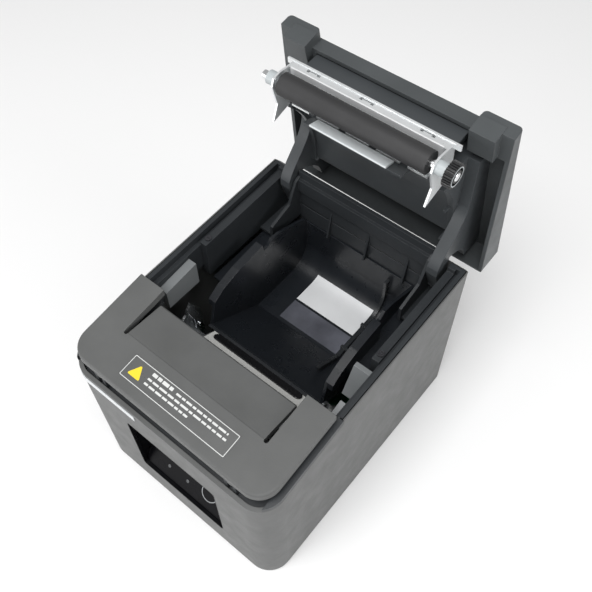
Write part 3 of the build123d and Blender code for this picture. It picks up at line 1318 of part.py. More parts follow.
with BuildPart() as lid_shell:
    with BuildSketch(top_plane(RIM_FRONT_Z)):
        Rectangle(WIDTH, DEPTH)
        fillet(vertices().group_by(Axis.Y)[-1], REAR_CORNER_R)
        box_between(-WIDTH, WIDTH, -DEPTH, EAR_TIP_Y, mode=Mode.SUBTRACT)
        box_between(-EAR_INNER, EAR_INNER, -DEPTH, LID_FRONT_Y, mode=Mode.SUBTRACT)
    extrude(amount=TALL)
    with BuildSketch(side_plane(-SIDE)):
        Polygon(
            (EAR_TIP_Y, top_z(EAR_TIP_Y)),
            (REAR, top_z(REAR)),
            (REAR, RIM_REAR_Z + 1.9),
            (REAR - RIM_REAR_CHAMFER, rim_z(REAR - RIM_REAR_CHAMFER) + LID_GAP),
            (RIM_BEND_Y, RIM_BEND_Z + LID_GAP),
            (EAR_TIP_Y + EAR_LEAN / 2, RIM_BEND_Z + LID_GAP),
            align=None,
        )
    extrude(amount=WIDTH, mode=Mode.INTERSECT)
    long_edges = lid_shell.edges().filter_by(Axis((0, 0, 0), (0, 1, TOP_SLOPE)))
    fillet(long_edges.group_by(slope_axis)[-1], LID_EDGE_R)
    # Hollow behind the ears, open underneath
    with BuildSketch(top_plane(RIM_FRONT_Z), mode=Mode.PRIVATE) as hollow_plan:
        box_between(-SIDE + LID_SKIN, SIDE - LID_SKIN, EAR_STEP_Y, REAR - LID_SKIN)
        box_between(-EAR_INNER + LID_SKIN, EAR_INNER - LID_SKIN, LID_FRONT_Y + LID_SKIN, EAR_STEP_Y + 1)
    with BuildSketch(side_plane(-SIDE), mode=Mode.PRIVATE) as hollow_side:
        Polygon(*top_slab(FRONT, REAR, LID_SKIN, TALL), align=None)
    hollow = extrude(hollow_plan.sketch, amount=TALL, mode=Mode.PRIVATE)
    hollow &= extrude(hollow_side.sketch, amount=WIDTH, mode=Mode.PRIVATE)
    add(hollow, mode=Mode.SUBTRACT)
    # Inner blocks of the ears, which reach down into the mouth
    slab_pair(EAR_INNER, EAR_BLOCK_OUTER, [
        (EAR_TIP_Y, top_z(EAR_TIP_Y) - 4),
        (EAR_TIP_Y + EAR_LEAN, top_z(EAR_TIP_Y) - EAR_BLOCK_DEPTH),
        (EAR_STEP_Y, top_z(EAR_STEP_Y) - EAR_BLOCK_DEPTH),
        (EAR_STEP_Y, top_z(EAR_STEP_Y) - 2),
        (EAR_TIP_Y + 3, top_z(EAR_TIP_Y) - 2),
    ])
    # Front edge of the panel between the ears turns down a little
    slab(-EAR_INNER - 1, EAR_INNER + 1, [
        (LID_FRONT_Y, top_z(LID_FRONT_Y) - 1),
        (LID_FRONT_Y + 0.6, top_z(LID_FRONT_Y) - 7.5),
        (LID_FRONT_Y + 2.6, top_z(LID_FRONT_Y) - 7.5),
        (LID_FRONT_Y + 3.5, top_z(LID_FRONT_Y) - 1),
    ])
lid_shell.part = opened(lid_shell.part)
lid_shell.part.label = "lid_shell"
export_step(lid_shell.part, "parts/lid_shell.step")

BRACKET_TOP = 107.2
LINER_HALF = 50.0
LINER_SKIN = 2.2
UNDER_SKIN = LID_SKIN + 0.1
ROOF_FRONT = (-4.0, 99.0)
ROOF_REAR = (60.6, 121.1)
roof_under = [ROOF_FRONT, (14.0, 112.5), (36.0, 119.6), ROOF_REAR]
roof_over = [(y - LINER_SKIN / 2, z + LINER_SKIN) for y, z in roof_under]
NECK_R = 25.5
NECK_START = 170.0
NECK_END = 100.0


def round_hinge(radius, degrees):
    """Point (y, z) at a radius and an angle about the lid's hinge."""
    angle = math.radians(degrees)
    return (HINGE_Y + radius * math.cos(angle), HINGE_Z + radius * math.sin(angle))


with BuildPart() as lid_liner:
    # Curved roof over the paper roll
    with BuildSketch(side_plane(-LINER_HALF)):
        with BuildLine():
            under = Spline(*roof_under)
            over = Spline(*roof_over)
            Line(under @ 0, over @ 0)
            Line(under @ 1, over @ 1)
        make_face()
    extrude(amount=2 * LINER_HALF)
    # Side walls that bulge below the edges of the roof
    for x in (-ARM_INNER - 0.2, LINER_HALF - 1.6):
        with BuildSketch(side_plane(x)):
            with BuildLine():
                bulge = Spline((1.5, 100.0), (14.0, 109.5), (34.0, 117.3), (62.0, 119.0))
                Polyline(
                    bulge @ 1,
                    (62.0, top_z(62.0) - UNDER_SKIN),
                    (-7.0, top_z(-7.0) - UNDER_SKIN),
                    (-7.0, BRACKET_TOP + 1.0),
                    (-1.0, BRACKET_TOP + 1.0),
                    bulge @ 0,
                )
            make_face()
        extrude(amount=ARM_INNER + 1.8 - LINER_HALF)
    # Goosenecks that pass over the rear edge of the body when the lid is open
    for x in (-ARM_OUTER, ARM_INNER):
        with BuildSketch(side_plane(x)):
            with BuildLine():
                neck = ThreePointArc(
                    round_hinge(NECK_R, NECK_START),
                    round_hinge(NECK_R, (NECK_START + NECK_END) / 2),
                    round_hinge(NECK_R, NECK_END),
                )
                lid_end_y = (neck @ 1).X
                elbow = Spline((30.0, 119.6), (41.8, 114.1), (54.8, 101.8), (64.5, 95.2))
                Polyline(
                    neck @ 1,
                    (lid_end_y, top_z(lid_end_y) - UNDER_SKIN),
                    (-7.0, top_z(-7.0) - UNDER_SKIN),
                    (-7.0, 120.8),
                    (6.5, 120.8),
                    elbow @ 0,
                )
                Polyline(
                    elbow @ 1,
                    (70.0, 94.8),
                    (HINGE_Y - 1, HINGE_Z - HINGE_BOSS_R),
                    (HINGE_Y - 1, HINGE_Z + HINGE_BOSS_R),
                    neck @ 0,
                )
            make_face()
            with Locations((HINGE_Y, HINGE_Z)):
                Circle(HINGE_BOSS_R)
                Circle(HINGE_PIN_R + RUNNING_FIT, mode=Mode.SUBTRACT)
        extrude(amount=ARM_OUTER - ARM_INNER)
    # Ribs under the skin of the lid
    for y in (4.0, 32.0, 58.0):
        slab(-LINER_HALF, LINER_HALF, [
            (y, 112.0),
            (y + 1.6, 112.0),
            (y + 1.6, top_z(y) - UNDER_SKIN),
            (y, top_z(y) - UNDER_SKIN),
        ])
    # Inner panel behind the front edge of the lid, on two ribs
    slab(-LINER_HALF + 0.8, LINER_HALF - 0.8, [
        (-20.8, BRACKET_TOP + 0.5),
        (-19.4, BRACKET_TOP + 0.5),
        (-19.4, top_z(-19.4) - UNDER_SKIN),
        (-20.8, top_z(-20.8) - UNDER_SKIN),
    ])
    slab_pair(44.0, 45.6, [
        (-20.4, BRACKET_TOP + 1.0),
        (-6.0, BRACKET_TOP + 1.0),
        (-6.0, top_z(-6.0) - UNDER_SKIN),
        (-20.4, top_z(-20.4) - UNDER_SKIN),
    ])
    slab(-LINER_HALF, LINER_HALF, [
        (-7.0, 108.0),
        (-5.0, 108.0),
        (-5.0, top_z(-7.0) - UNDER_SKIN),
        (-7.0, top_z(-7.0) - UNDER_SKIN),
    ])
    with BuildSketch(side_plane(-LINER_HALF)):
        with BuildLine():
            Spline(*roof_under)
            Polyline(ROOF_REAR, (ROOF_REAR[0] + 9, 90.0), (ROOF_FRONT[0] - 3.1, 90.0), ROOF_FRONT)
        make_face()
    extrude(amount=2 * LINER_HALF - 1.5, mode=Mode.SUBTRACT)
lid_liner.part = opened(lid_liner.part)
lid_liner.part.label = "lid_liner"
export_step(lid_liner.part, "parts/lid_liner.step")

with BuildPart() as hinge_pins:
    for x in (-MOUTH_HALF - 1.8, CHEEK_INNER):
        with BuildSketch(side_plane(x)):
            with Locations((HINGE_Y, HINGE_Z)):
                Circle(HINGE_PIN_R)
        extrude(amount=MOUTH_HALF + 1.8 - CHEEK_INNER)
hinge_pins.part.label = "hinge_pins"
export_step(hinge_pins.part, "parts/hinge_pins.step")

BRACKET_HALF = 50.0
SHEET = 1.2
BRACKET_FRONT_Y = -28.0
BRACKET_REAR_Y = -8.0
BLADE_UNDER_Z = 100.2
BRACKET_SLOT_X = (-36.0, -1.0, 36.5)
FIXED_BLADE_FRONT_Y = -29.2

with BuildPart() as platen_bracket:
    slab(-BRACKET_HALF, BRACKET_HALF, [
        (BRACKET_FRONT_Y, BRACKET_TOP - SHEET),
        (BRACKET_REAR_Y, BRACKET_TOP - SHEET),
        (BRACKET_REAR_Y, BRACKET_TOP),
        (BRACKET_FRONT_Y, BRACKET_TOP),
    ])
    slab(-55.1, 55.1, [
        (BRACKET_FRONT_Y - 0.6, BRACKET_TOP - SHEET),
        (BRACKET_FRONT_Y + 3, BRACKET_TOP - SHEET),
        (BRACKET_FRONT_Y + 3, BRACKET_TOP),
        (BRACKET_FRONT_Y - 0.6, BRACKET_TOP),
    ])
    slab(-BRACKET_HALF, BRACKET_HALF, [
        (BRACKET_FRONT_Y, BLADE_UNDER_Z + 1.0),
        (BRACKET_FRONT_Y + SHEET, BLADE_UNDER_Z + 1.0),
        (BRACKET_FRONT_Y + SHEET, BRACKET_TOP),
        (BRACKET_FRONT_Y, BRACKET_TOP),
    ])
    with BuildSketch(front_plane(BRACKET_REAR_Y)):
        with Locations((0, (BRACKET_TOP + 95.0) / 2)):
            Rectangle(2 * 44.6, BRACKET_TOP - 95.0)
        with Locations(*[(x, 95.0) for x in (-30, -10, 10, 30)]):
            Rectangle(5, 3, mode=Mode.SUBTRACT)
    extrude(amount=SHEET)
    slab_pair(BRACKET_HALF, BRACKET_HALF + SHEET, [
        (BRACKET_FRONT_Y, BRACKET_TOP),
        (BRACKET_REAR_Y, BRACKET_TOP),
        (-3.0, 99.0),
        (0.1, 84.8),
        (-10.0, 89.5),
        (-19.0, 87.5),
        (-24.0, 86.6),
        (-28.6, 88.5),
        (-29.4, 94.0),
        (-28.6, 100.0),
    ])
    with BuildSketch(side_plane(-SIDE)):
        with Locations((PLATEN_Y, PLATEN_Z)):
            Circle(BUSHING_R)
    extrude(amount=WIDTH, mode=Mode.SUBTRACT)
    # Dumbbell slots along the front flange
    with BuildSketch(front_plane(BRACKET_FRONT_Y + 2.5)):
        for x in BRACKET_SLOT_X:
            with Locations((x - 3.5, BRACKET_TOP - 2.6), (x + 3.5, BRACKET_TOP - 2.6)):
                Rectangle(1.8, 1.8)
            with Locations((x, BRACKET_TOP - 2.3)):
                Rectangle(7.0, 0.8)
    extrude(amount=5.0, mode=Mode.SUBTRACT)
    # Posts up to the skin of the lid
    slab_pair(36.0, 40.0, [
        (-19.0, BRACKET_TOP - 0.5),
        (-15.0, BRACKET_TOP - 0.5),
        (-15.0, top_z(-15.0) - UNDER_SKIN),
        (-19.0, top_z(-19.0) - UNDER_SKIN),
    ])
platen_bracket.part = opened(platen_bracket.part)
platen_bracket.part.label = "platen_bracket"
export_step(platen_bracket.part, "parts/platen_bracket.step")

with BuildPart() as fixed_blade:
    with BuildSketch(top_plane(BLADE_UNDER_Z)):
        box_between(-48.4, 48.4, FIXED_BLADE_FRONT_Y, FIXED_BLADE_FRONT_Y + 8.0)
        for x in (-37.0, 0.0, 37.0):
            with Locations((x - 3.2, FIXED_BLADE_FRONT_Y + 5.6), (x + 3.2, FIXED_BLADE_FRONT_Y + 5.6)):
                Rectangle(1.6, 2.6, mode=Mode.SUBTRACT)
            with Locations((x, FIXED_BLADE_FRONT_Y + 5.2)):
                Rectangle(6.4, 1.2, mode=Mode.SUBTRACT)
    extrude(amount=0.8)
fixed_blade.part = opened(fixed_blade.part)
fixed_blade.part.label = "fixed_blade"
export_step(fixed_blade.part, "parts/fixed_blade.step")

with BuildPart() as platen_bushings:
    for x in (-56.4, BRACKET_HALF):
        with BuildSketch(side_plane(x)):
            with Locations((PLATEN_Y, PLATEN_Z)):
                Circle(BUSHING_R)
                Circle(SHAFT_R + RUNNING_FIT, mode=Mode.SUBTRACT)
        extrude(amount=56.4 - BRACKET_HALF)
platen_bushings.part = opened(platen_bushings.part)
platen_bushings.part.label = "platen_bushings"
export_step(platen_bushings.part, "parts/platen_bushings.step")

SHAFT_LEFT = -60.5
SHAFT_RIGHT = IDLER_X + GEAR_WIDTH + 0.4

with BuildPart() as platen_shaft:
    with BuildSketch(side_plane(SHAFT_LEFT)):
        with Locations((PLATEN_Y, PLATEN_Z)):
            Circle(SHAFT_R)
    extrude(amount=SHAFT_RIGHT - SHAFT_LEFT)
    chamfer(platen_shaft.edges().filter_by(GeomType.CIRCLE), 0.4)
platen_shaft.part = opened(platen_shaft.part)
platen_shaft.part.label = "platen_shaft"
export_step(platen_shaft.part, "parts/platen_shaft.step")

with BuildPart() as platen_roller:
    with BuildSketch(side_plane(-PLATEN_HALF)):
        with Locations((PLATEN_Y, PLATEN_Z)):
            Circle(PLATEN_R)
            Circle(SHAFT_R, mode=Mode.SUBTRACT)
    extrude(amount=2 * PLATEN_HALF)
platen_roller.part = opened(platen_roller.part)
platen_roller.part.label = "platen_roller"
export_step(platen_roller.part, "parts/platen_roller.step")

with BuildPart() as platen_gear:
    with BuildSketch(side_plane(IDLER_X)):
        with Locations((PLATEN_Y, PLATEN_Z)):
            Polygon(*gear_points(PLATEN_TEETH), align=None)
            Circle(SHAFT_R, mode=Mode.SUBTRACT)
    extrude(amount=GEAR_WIDTH)
    with BuildSketch(side_plane(IDLER_X + GEAR_WIDTH)):
        with Locations((PLATEN_Y, PLATEN_Z)):
            Circle(4.9)
            Circle(3.6, mode=Mode.SUBTRACT)
    extrude(amount=-1.2, mode=Mode.SUBTRACT)
platen_gear.part = opened(platen_gear.part)
platen_gear.part.label = "platen_gear"
export_step(platen_gear.part, "parts/platen_gear.step")

with BuildPart() as paper_guide:
    slab(-30.0, 34.0, [
        (-10.3, 86.8),
        (-8.8, 86.8),
        (-6.6, 94.0),
        (-7.2, 107.0),
        (-7.9, 107.0),
        (-7.9, 94.6),
    ])
paper_guide.part = opened(paper_guide.part)
paper_guide.part.label = "paper_guide"
export_step(paper_guide.part, "parts/paper_guide.step")

with BuildPart() as paper_lip:
    slab(-25.0, 25.0, [
        (-12.0, 86.2),
        (-10.8, 85.8),
        (-10.3, 86.8),
        (-8.3, 93.4),
        (-9.6, 93.8),
    ])
    fillet(paper_lip.edges().filter_by(Axis.X).sort_by(Axis.Z)[0], 0.5)
paper_lip.part = opened(paper_lip.part)
paper_lip.part.label = "paper_lip"
export_step(paper_lip.part, "parts/paper_lip.step")
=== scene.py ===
"""Looks for the receipt printer: materials, small details, camera and light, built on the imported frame."""
import math
import random

import bmesh
import bpy
from mathutils import Matrix, Vector


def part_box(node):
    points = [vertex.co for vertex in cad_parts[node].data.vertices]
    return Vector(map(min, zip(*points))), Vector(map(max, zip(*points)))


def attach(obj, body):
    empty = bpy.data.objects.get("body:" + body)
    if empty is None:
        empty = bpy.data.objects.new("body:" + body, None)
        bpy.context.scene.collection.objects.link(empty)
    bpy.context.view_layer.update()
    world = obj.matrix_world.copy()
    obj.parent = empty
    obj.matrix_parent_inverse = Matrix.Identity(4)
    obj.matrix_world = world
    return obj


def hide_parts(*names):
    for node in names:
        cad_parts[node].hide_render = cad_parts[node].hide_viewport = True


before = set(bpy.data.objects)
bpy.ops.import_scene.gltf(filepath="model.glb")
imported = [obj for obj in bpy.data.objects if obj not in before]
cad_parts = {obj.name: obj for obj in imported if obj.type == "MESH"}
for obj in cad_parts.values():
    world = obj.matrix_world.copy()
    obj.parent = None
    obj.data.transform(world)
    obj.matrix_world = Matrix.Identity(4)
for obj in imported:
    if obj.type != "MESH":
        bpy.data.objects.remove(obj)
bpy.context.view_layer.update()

MM = 0.001
scene = bpy.context.scene


# ---------------------------------------------------------------- shader pieces

def new_material(name):
    """A node material with a Principled shader: the material, its node tree and the shader."""
    material = bpy.data.materials.new(name)
    material.use_nodes = True
    tree = material.node_tree
    tree.nodes.clear()
    output = tree.nodes.new("ShaderNodeOutputMaterial")
    shader = tree.nodes.new("ShaderNodeBsdfPrincipled")
    tree.links.new(shader.outputs["BSDF"], output.inputs["Surface"])
    return material, tree, shader


def noise(tree, coords, scale, detail=3.0, roughness=0.55, stretch=None):
    """A noise texture in object space, its size given in features per metre."""
    node = tree.nodes.new("ShaderNodeTexNoise")
    node.inputs["Scale"].default_value = scale
    node.inputs["Detail"].default_value = detail
    node.inputs["Roughness"].default_value = roughness
    source = coords.outputs["Object"]
    if stretch:
        mapping = tree.nodes.new("ShaderNodeMapping")
        mapping.inputs["Scale"].default_value = stretch
        tree.links.new(source, mapping.inputs["Vector"])
        source = mapping.outputs["Vector"]
    tree.links.new(source, node.inputs["Vector"])
    return node.outputs["Fac"]


def ramp(tree, factor, low, high):
    """A colour ramp between two colours over the middle of a 0 to 1 factor."""
    node = tree.nodes.new("ShaderNodeValToRGB")
    for element, position, colour in zip(node.color_ramp.elements, (0.3, 0.7), (low, high)):
        element.position = position
        element.color = (*colour, 1.0)
    tree.links.new(factor, node.inputs["Fac"])
    return node.outputs["Color"]


def spread(tree, factor, low, high):
    """Maps the middle half of a 0 to 1 factor onto a range."""
    node = tree.nodes.new("ShaderNodeMapRange")
    node.inputs["From Min"].default_value = 0.25
    node.inputs["From Max"].default_value = 0.75
    node.inputs["To Min"].default_value = low
    node.inputs["To Max"].default_value = high
    tree.links.new(factor, node.inputs["Value"])
    return node.outputs["Result"]


def rounded_normal(tree, radius):
    """The surface normal with sharp edges rounded off."""
    bevel = tree.nodes.new("ShaderNodeBevel")
    bevel.samples = 4
    bevel.inputs["Radius"].default_value = radius
    return bevel.outputs["Normal"]


def edge_mask(tree, rounded):
    """White along sharp edges: where the rounded normal leaves the flat one."""
    geometry = tree.nodes.new("ShaderNodeNewGeometry")
    dot = tree.nodes.new("ShaderNodeVectorMath")
    dot.operation = "DOT_PRODUCT"
    tree.links.new(rounded, dot.inputs[0])
    tree.links.new(geometry.outputs["Normal"], dot.inputs[1])
    node = tree.nodes.new("ShaderNodeMapRange")
    node.inputs["From Min"].default_value = 0.98
    node.inputs["From Max"].default_value = 0.80
    tree.links.new(dot.outputs["Value"], node.inputs["Value"])
    return node.outputs["Result"]


def product(tree, first, second):
    """The product of two factors."""
    node = tree.nodes.new("ShaderNodeMath")
    node.operation = "MULTIPLY"
    tree.links.new(first, node.inputs[0])
    tree.links.new(second, node.inputs[1])
    return node.outputs["Value"]


def bump(tree, height, normal, strength, depth):
    """A bump of a given depth, in metres, on top of a normal."""
    node = tree.nodes.new("ShaderNodeBump")
    node.inputs["Strength"].default_value = strength
    node.inputs["Distance"].default_value = depth
    tree.links.new(height, node.inputs["Height"])
    tree.links.new(normal, node.inputs["Normal"])
    return node.outputs["Normal"]


# ---------------------------------------------------------------- kinds of material

MOTTLE_SCALE = 28.0
# The edge lightening set here is partly rubbed wear and partly a painted highlight along sharp edges.
EDGE_WEAR_AND_HIGHLIGHT_SCALE = 190.0
SHINE_SCALE = 95.0
SHINE_SPREAD = 0.06
EDGE_WEAR_AND_HIGHLIGHT_GAIN = 1.9
EDGE_WEAR_AND_HIGHLIGHT_LIFT = 0.03
GRAIN_DEPTH = 0.00012


def moulded(name, colour, roughness=0.5, grain=1400.0, grain_depth=0.25, variation=0.10,
            edge=0.35, round_mm=0.5, specular=0.5):
    """Moulded plastic: spark-eroded grain, faint mottling, sharp edges lightened partly as rubbed wear and
    partly as a painted highlight, slightly rounded corners.
    """
    material, tree, shader = new_material(name)
    coords = tree.nodes.new("ShaderNodeTexCoord")
    darker = tuple(channel * (1.0 - variation) for channel in colour)
    lighter = tuple(min(1.0, channel * (1.0 + variation)) for channel in colour)
    # Lighter colour along sharp edges, in noisy patches: partly rubbed wear, partly a painted highlight.
    worn_and_highlit = tuple(min(1.0, channel * EDGE_WEAR_AND_HIGHLIGHT_GAIN + EDGE_WEAR_AND_HIGHLIGHT_LIFT) for channel in colour)
    rounded = rounded_normal(tree, round_mm * MM)
    wear_and_highlight_patches = spread(tree, noise(tree, coords, EDGE_WEAR_AND_HIGHLIGHT_SCALE, 5.0, 0.7), 0.15, edge)
    mix = tree.nodes.new("ShaderNodeMix")
    mix.data_type = "RGBA"
    tree.links.new(product(tree, edge_mask(tree, rounded), wear_and_highlight_patches), mix.inputs["Factor"])
    tree.links.new(ramp(tree, noise(tree, coords, MOTTLE_SCALE, 4.0), darker, lighter), mix.inputs["A"])
    mix.inputs["B"].default_value = (*worn_and_highlit, 1.0)
    tree.links.new(mix.outputs["Result"], shader.inputs["Base Color"])
    shine = noise(tree, coords, SHINE_SCALE)
    rough = spread(tree, shine, roughness - SHINE_SPREAD, roughness + SHINE_SPREAD)
    tree.links.new(rough, shader.inputs["Roughness"])
    fine = noise(tree, coords, grain, 2.0, 0.6)
    tree.links.new(bump(tree, fine, rounded, grain_depth, GRAIN_DEPTH), shader.inputs["Normal"])
    shader.inputs["Specular IOR Level"].default_value = specular
    return material


def glossy_moulded(name, colour, roughness=0.30, grain_depth=0.10, round_mm=0.25):
    """Smooth bright plastic from a polished mould."""
    return moulded(name, colour, roughness, grain=900.0, grain_depth=grain_depth, variation=0.05,
                   edge=0.2, round_mm=round_mm)


def ink(name, colour, roughness, variation=0.05):
    """A printed layer: nearly flat, with a faint change of tone."""
    return moulded(name, colour, roughness, grain=600.0, grain_depth=0.04, variation=variation,
                   edge=0.1, round_mm=0.05)


STAIN_SCALE = 60.0
BRUSH_SCALE = 320.0
BRUSH_DEPTH = 0.00005
BRUSH_STRENGTH = 0.15
BRUSH_SMOOTHER = 0.07
BRUSH_ROUGHER = 0.09


def metal(name, colour, roughness=0.25, brush=(1.0, 14.0, 14.0), stain=0.12, round_mm=0.2, metallic=1.0):
    """Plated or ground metal: brushed along one axis, with faint stains and slightly rounded edges."""
    material, tree, shader = new_material(name)
    coords = tree.nodes.new("ShaderNodeTexCoord")
    darker = tuple(channel * (1.0 - stain) for channel in colour)
    tone = ramp(tree, noise(tree, coords, STAIN_SCALE, 4.0), darker, colour)
    tree.links.new(tone, shader.inputs["Base Color"])
    lines = noise(tree, coords, BRUSH_SCALE, 3.0, 0.6, stretch=brush)
    rough = spread(tree, lines, roughness - BRUSH_SMOOTHER, roughness + BRUSH_ROUGHER)
    tree.links.new(rough, shader.inputs["Roughness"])
    shader.inputs["Metallic"].default_value = metallic
    rounded = rounded_normal(tree, round_mm * MM)
    tree.links.new(bump(tree, lines, rounded, BRUSH_STRENGTH, BRUSH_DEPTH), shader.inputs["Normal"])
    return material


# ---------------------------------------------------------------- the printer's materials

MATERIALS = {
    "case": moulded("case_plastic", (0.098, 0.100, 0.099), 0.46, specular=0.3, grain_depth=0.30,
                    edge=0.30, round_mm=0.6),
    "lid": moulded("lid_plastic", (0.064, 0.070, 0.073), 0.44, specular=0.3, grain_depth=0.28,
                   edge=0.25, round_mm=0.6),
    "frame": moulded("frame_plastic", (0.026, 0.029, 0.032), 0.40, specular=0.3, grain_depth=0.22),
    "liner": moulded("liner_plastic", (0.050, 0.055, 0.059), 0.40, specular=0.3, grain_depth=0.20),
    "well": moulded("well_plastic", (0.012, 0.014, 0.017), 0.30, grain=700.0, grain_depth=0.08,
                    edge=0.5, round_mm=0.4, specular=0.4),
    "guide": moulded("guide_plastic", (0.018, 0.020, 0.022), 0.28, grain=700.0, grain_depth=0.10,
                     edge=0.5, round_mm=0.4),
    "gloss": moulded("panel_gloss", (0.004, 0.004, 0.005), 0.30, grain=500.0, grain_depth=0.03,
                     edge=0.15, round_mm=0.4, specular=0.08),
    "black": moulded("connector_black", (0.014, 0.014, 0.015), 0.45, grain_depth=0.2, edge=0.3, round_mm=0.2),
    "guides": moulded("guide_grey", (0.17, 0.18, 0.185), 0.36, grain_depth=0.2, edge=0.4, round_mm=0.4),
    "rubber": moulded("roller_rubber", (0.022, 0.022, 0.023), 0.62, grain=2600.0, grain_depth=0.35,
                      variation=0.12, edge=0.2, round_mm=0.2),
    "foot": moulded("foot_rubber", (0.015, 0.015, 0.015), 0.75, grain=1500.0, grain_depth=0.4,
                    edge=0.2, round_mm=0.3),
    "gear": moulded("black_acetal", (0.012, 0.012, 0.013), 0.36, grain=900.0, grain_depth=0.1,
                    edge=0.5, round_mm=0.12),
    "epoxy": moulded("black_epoxy", (0.010, 0.010, 0.011), 0.18, grain=260.0, edge=0.1, specular=0.6),
    "ceramic": moulded("head_ceramic", (0.62, 0.62, 0.60), 0.25, grain=500.0, grain_depth=0.04,
                       variation=0.04, edge=0.1, round_mm=0.2),
    "board": moulded("circuit_board", (0.012, 0.075, 0.035), 0.34, grain=420.0, grain_depth=0.2,
                     variation=0.25, edge=0.1, round_mm=0.1),
    "lens": moulded("led_lens", (0.055, 0.058, 0.062), 0.22, grain=400.0, grain_depth=0.05,
                    edge=0.1, round_mm=0.1),
    "lip": glossy_moulded("lip_plastic", (0.60, 0.63, 0.64), grain_depth=0.08),
    "light": glossy_moulded("light_grey_plastic", (0.42, 0.45, 0.46), 0.35),
    "white": glossy_moulded("white_acetal", (0.66, 0.66, 0.63), 0.42, round_mm=0.15),
    "film": moulded("white_film", (0.70, 0.71, 0.72), 0.33, grain=500.0, grain_depth=0.05,
                    variation=0.06, edge=0.1, round_mm=0.05),
    "label": moulded("label_film", (0.095, 0.097, 0.096), 0.30, grain=500.0, grain_depth=0.05,
                     variation=0.04, edge=0.1, round_mm=0.05),
    "badge": moulded("badge_film", (0.62, 0.64, 0.66), 0.22, grain=400.0, grain_depth=0.04,
                     variation=0.04, edge=0.1, round_mm=0.1),
    "panel_film": moulded("panel_film", (0.085, 0.088, 0.105), 0.20, grain=160.0, grain_depth=0.10,
                          variation=0.45, edge=0.1, round_mm=0.05),
    "ink": ink("pale_ink", (0.62, 0.63, 0.62), 0.40, variation=0.06),
    "yellow": ink("yellow_ink", (0.80, 0.62, 0.03), 0.35),
    "ring": ink("ring_ink", (0.28, 0.29, 0.30), 0.30, variation=0.06),
    "steel": metal("bright_steel", (0.80, 0.81, 0.82), 0.20),
    "blade": metal("blade_steel", (0.95, 0.96, 0.97), 0.34, brush=(1.0, 10.0, 10.0), stain=0.04,
                   metallic=0.45),
    "bracket": metal("bracket_steel", (0.86, 0.88, 0.89), 0.32, brush=(1.0, 8.0, 8.0), stain=0.10,
                     metallic=0.7),
    "sheet": metal("zinc_sheet", (0.66, 0.68, 0.70), 0.30, brush=(1.0, 6.0, 6.0), stain=0.2),
    "chrome": metal("ground_steel", (0.84, 0.85, 0.86), 0.14, brush=(2.0, 14.0, 14.0)),
    "screw": metal("screw_steel", (0.10, 0.10, 0.11), 0.34, brush=(4.0, 4.0, 4.0), round_mm=0.12),
    "alu": metal("plain_aluminium", (0.72, 0.73, 0.74), 0.34, brush=(1.0, 10.0, 10.0)),
    "port": metal("port_shell", (0.58, 0.59, 0.60), 0.28, brush=(8.0, 1.0, 8.0)),
    "motor": metal("motor_can", (0.55, 0.56, 0.57), 0.30, brush=(10.0, 1.0, 1.0)),
    "gold": metal("contact_gold", (0.83, 0.62, 0.28), 0.22, brush=(8.0, 1.0, 8.0), round_mm=0.05),
}

# Which CAD nodes wear each material
PAINT = {
    "case": ("outer_case", "front_cover"),
    "lid": ("lid_shell",),
    "frame": ("upper_frame", "base_plate", "rear_panel"),
    "guides": ("side_guides",),
    "blade": ("fixed_blade",),
    "bracket": ("platen_bracket",),
    "liner": ("lid_liner", "paper_guide"),
    "well": ("paper_well",),
    "guide": ("width_guide",),
    "gloss": ("status_panel", "paper_sensor", "feed_button"),
    "lip": ("paper_lip",),
    "black": ("cash_drawer_port", "dc_inlet", "switch_body", "power_rocker"),
    "light": ("platen_bushings",),
    "white": ("drive_gear", "cutter_gear"),
    "film": ("well_label",),
    "label": ("cover_label",),
    "badge": ("badge",),
    "rubber": ("platen_roller",),
    "foot": ("rubber_feet",),
    "gear": ("platen_gear",),
    "epoxy": ("head_chip_cover",),
    "ceramic": ("thermal_head",),
    "board": ("main_board",),
    "steel": ("moving_blade", "head_springs", "motor_pinion"),
    "sheet": ("mech_frame", "cutter_body", "latch_left", "latch_right"),
    "chrome": ("platen_shaft", "head_pivot_rod", "gear_pin", "latch_pins", "cover_pins", "hinge_pins"),
    "screw": ("base_screws", "frame_screws", "board_screws"),
    "alu": ("heat_sink",),
    "port": ("usb_port", "lan_port"),
    "motor": ("feed_motor", "cutter_motor"),
    "lens": ("led_lenses",),
}

for key, nodes in PAINT.items():
    for node in nodes:
        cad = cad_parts[node]
        cad.data.materials.clear()
        cad.data.materials.append(MATERIALS[key])

unpainted = set(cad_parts) - {node for nodes in PAINT.values() for node in nodes}
if unpainted:
    raise RuntimeError("no material for " + ", ".join(sorted(unpainted)))


# ---------------------------------------------------------------- shapes, in mm

def place_by_axes(origin, x_axis, y_axis, z_axis):
    """The frame with these three axes at a point."""
    return Matrix.Translation(origin) @ Matrix((x_axis, y_axis, z_axis)).transposed().to_4x4()


def prism(bm, outline, place, low, high):
    """A flat polygon given a thickness between two levels of a frame."""
    bottom = [bm.verts.new(place @ Vector((x * MM, y * MM, low * MM))) for x, y in outline]
    top = [bm.verts.new(place @ Vector((x * MM, y * MM, high * MM))) for x, y in outline]
    bm.faces.new(bottom[::-1])
    bm.faces.new(top)
    for i in range(len(outline)):
        j = (i + 1) % len(outline)
        bm.faces.new((bottom[i], bottom[j], top[j], top[i]))


def join_rows(bm, row, following):
    """A strip of faces between two closed rows with as many points each."""
    count = len(row)
    for i in range(count):
        j = (i + 1) % count
        bm.faces.new((row[i], row[j], following[j], following[i]))


def ring(bm, outer, inner, place, low, high):
    """The band between two outlines with as many points each."""
    rows = []
    for points, level in ((outer, low), (outer, high), (inner, high), (inner, low)):
        rows.append([bm.verts.new(place @ Vector((x * MM, y * MM, level * MM))) for x, y in points])
    for row, following in zip(rows, rows[1:] + rows[:1]):
        join_rows(bm, row, following)


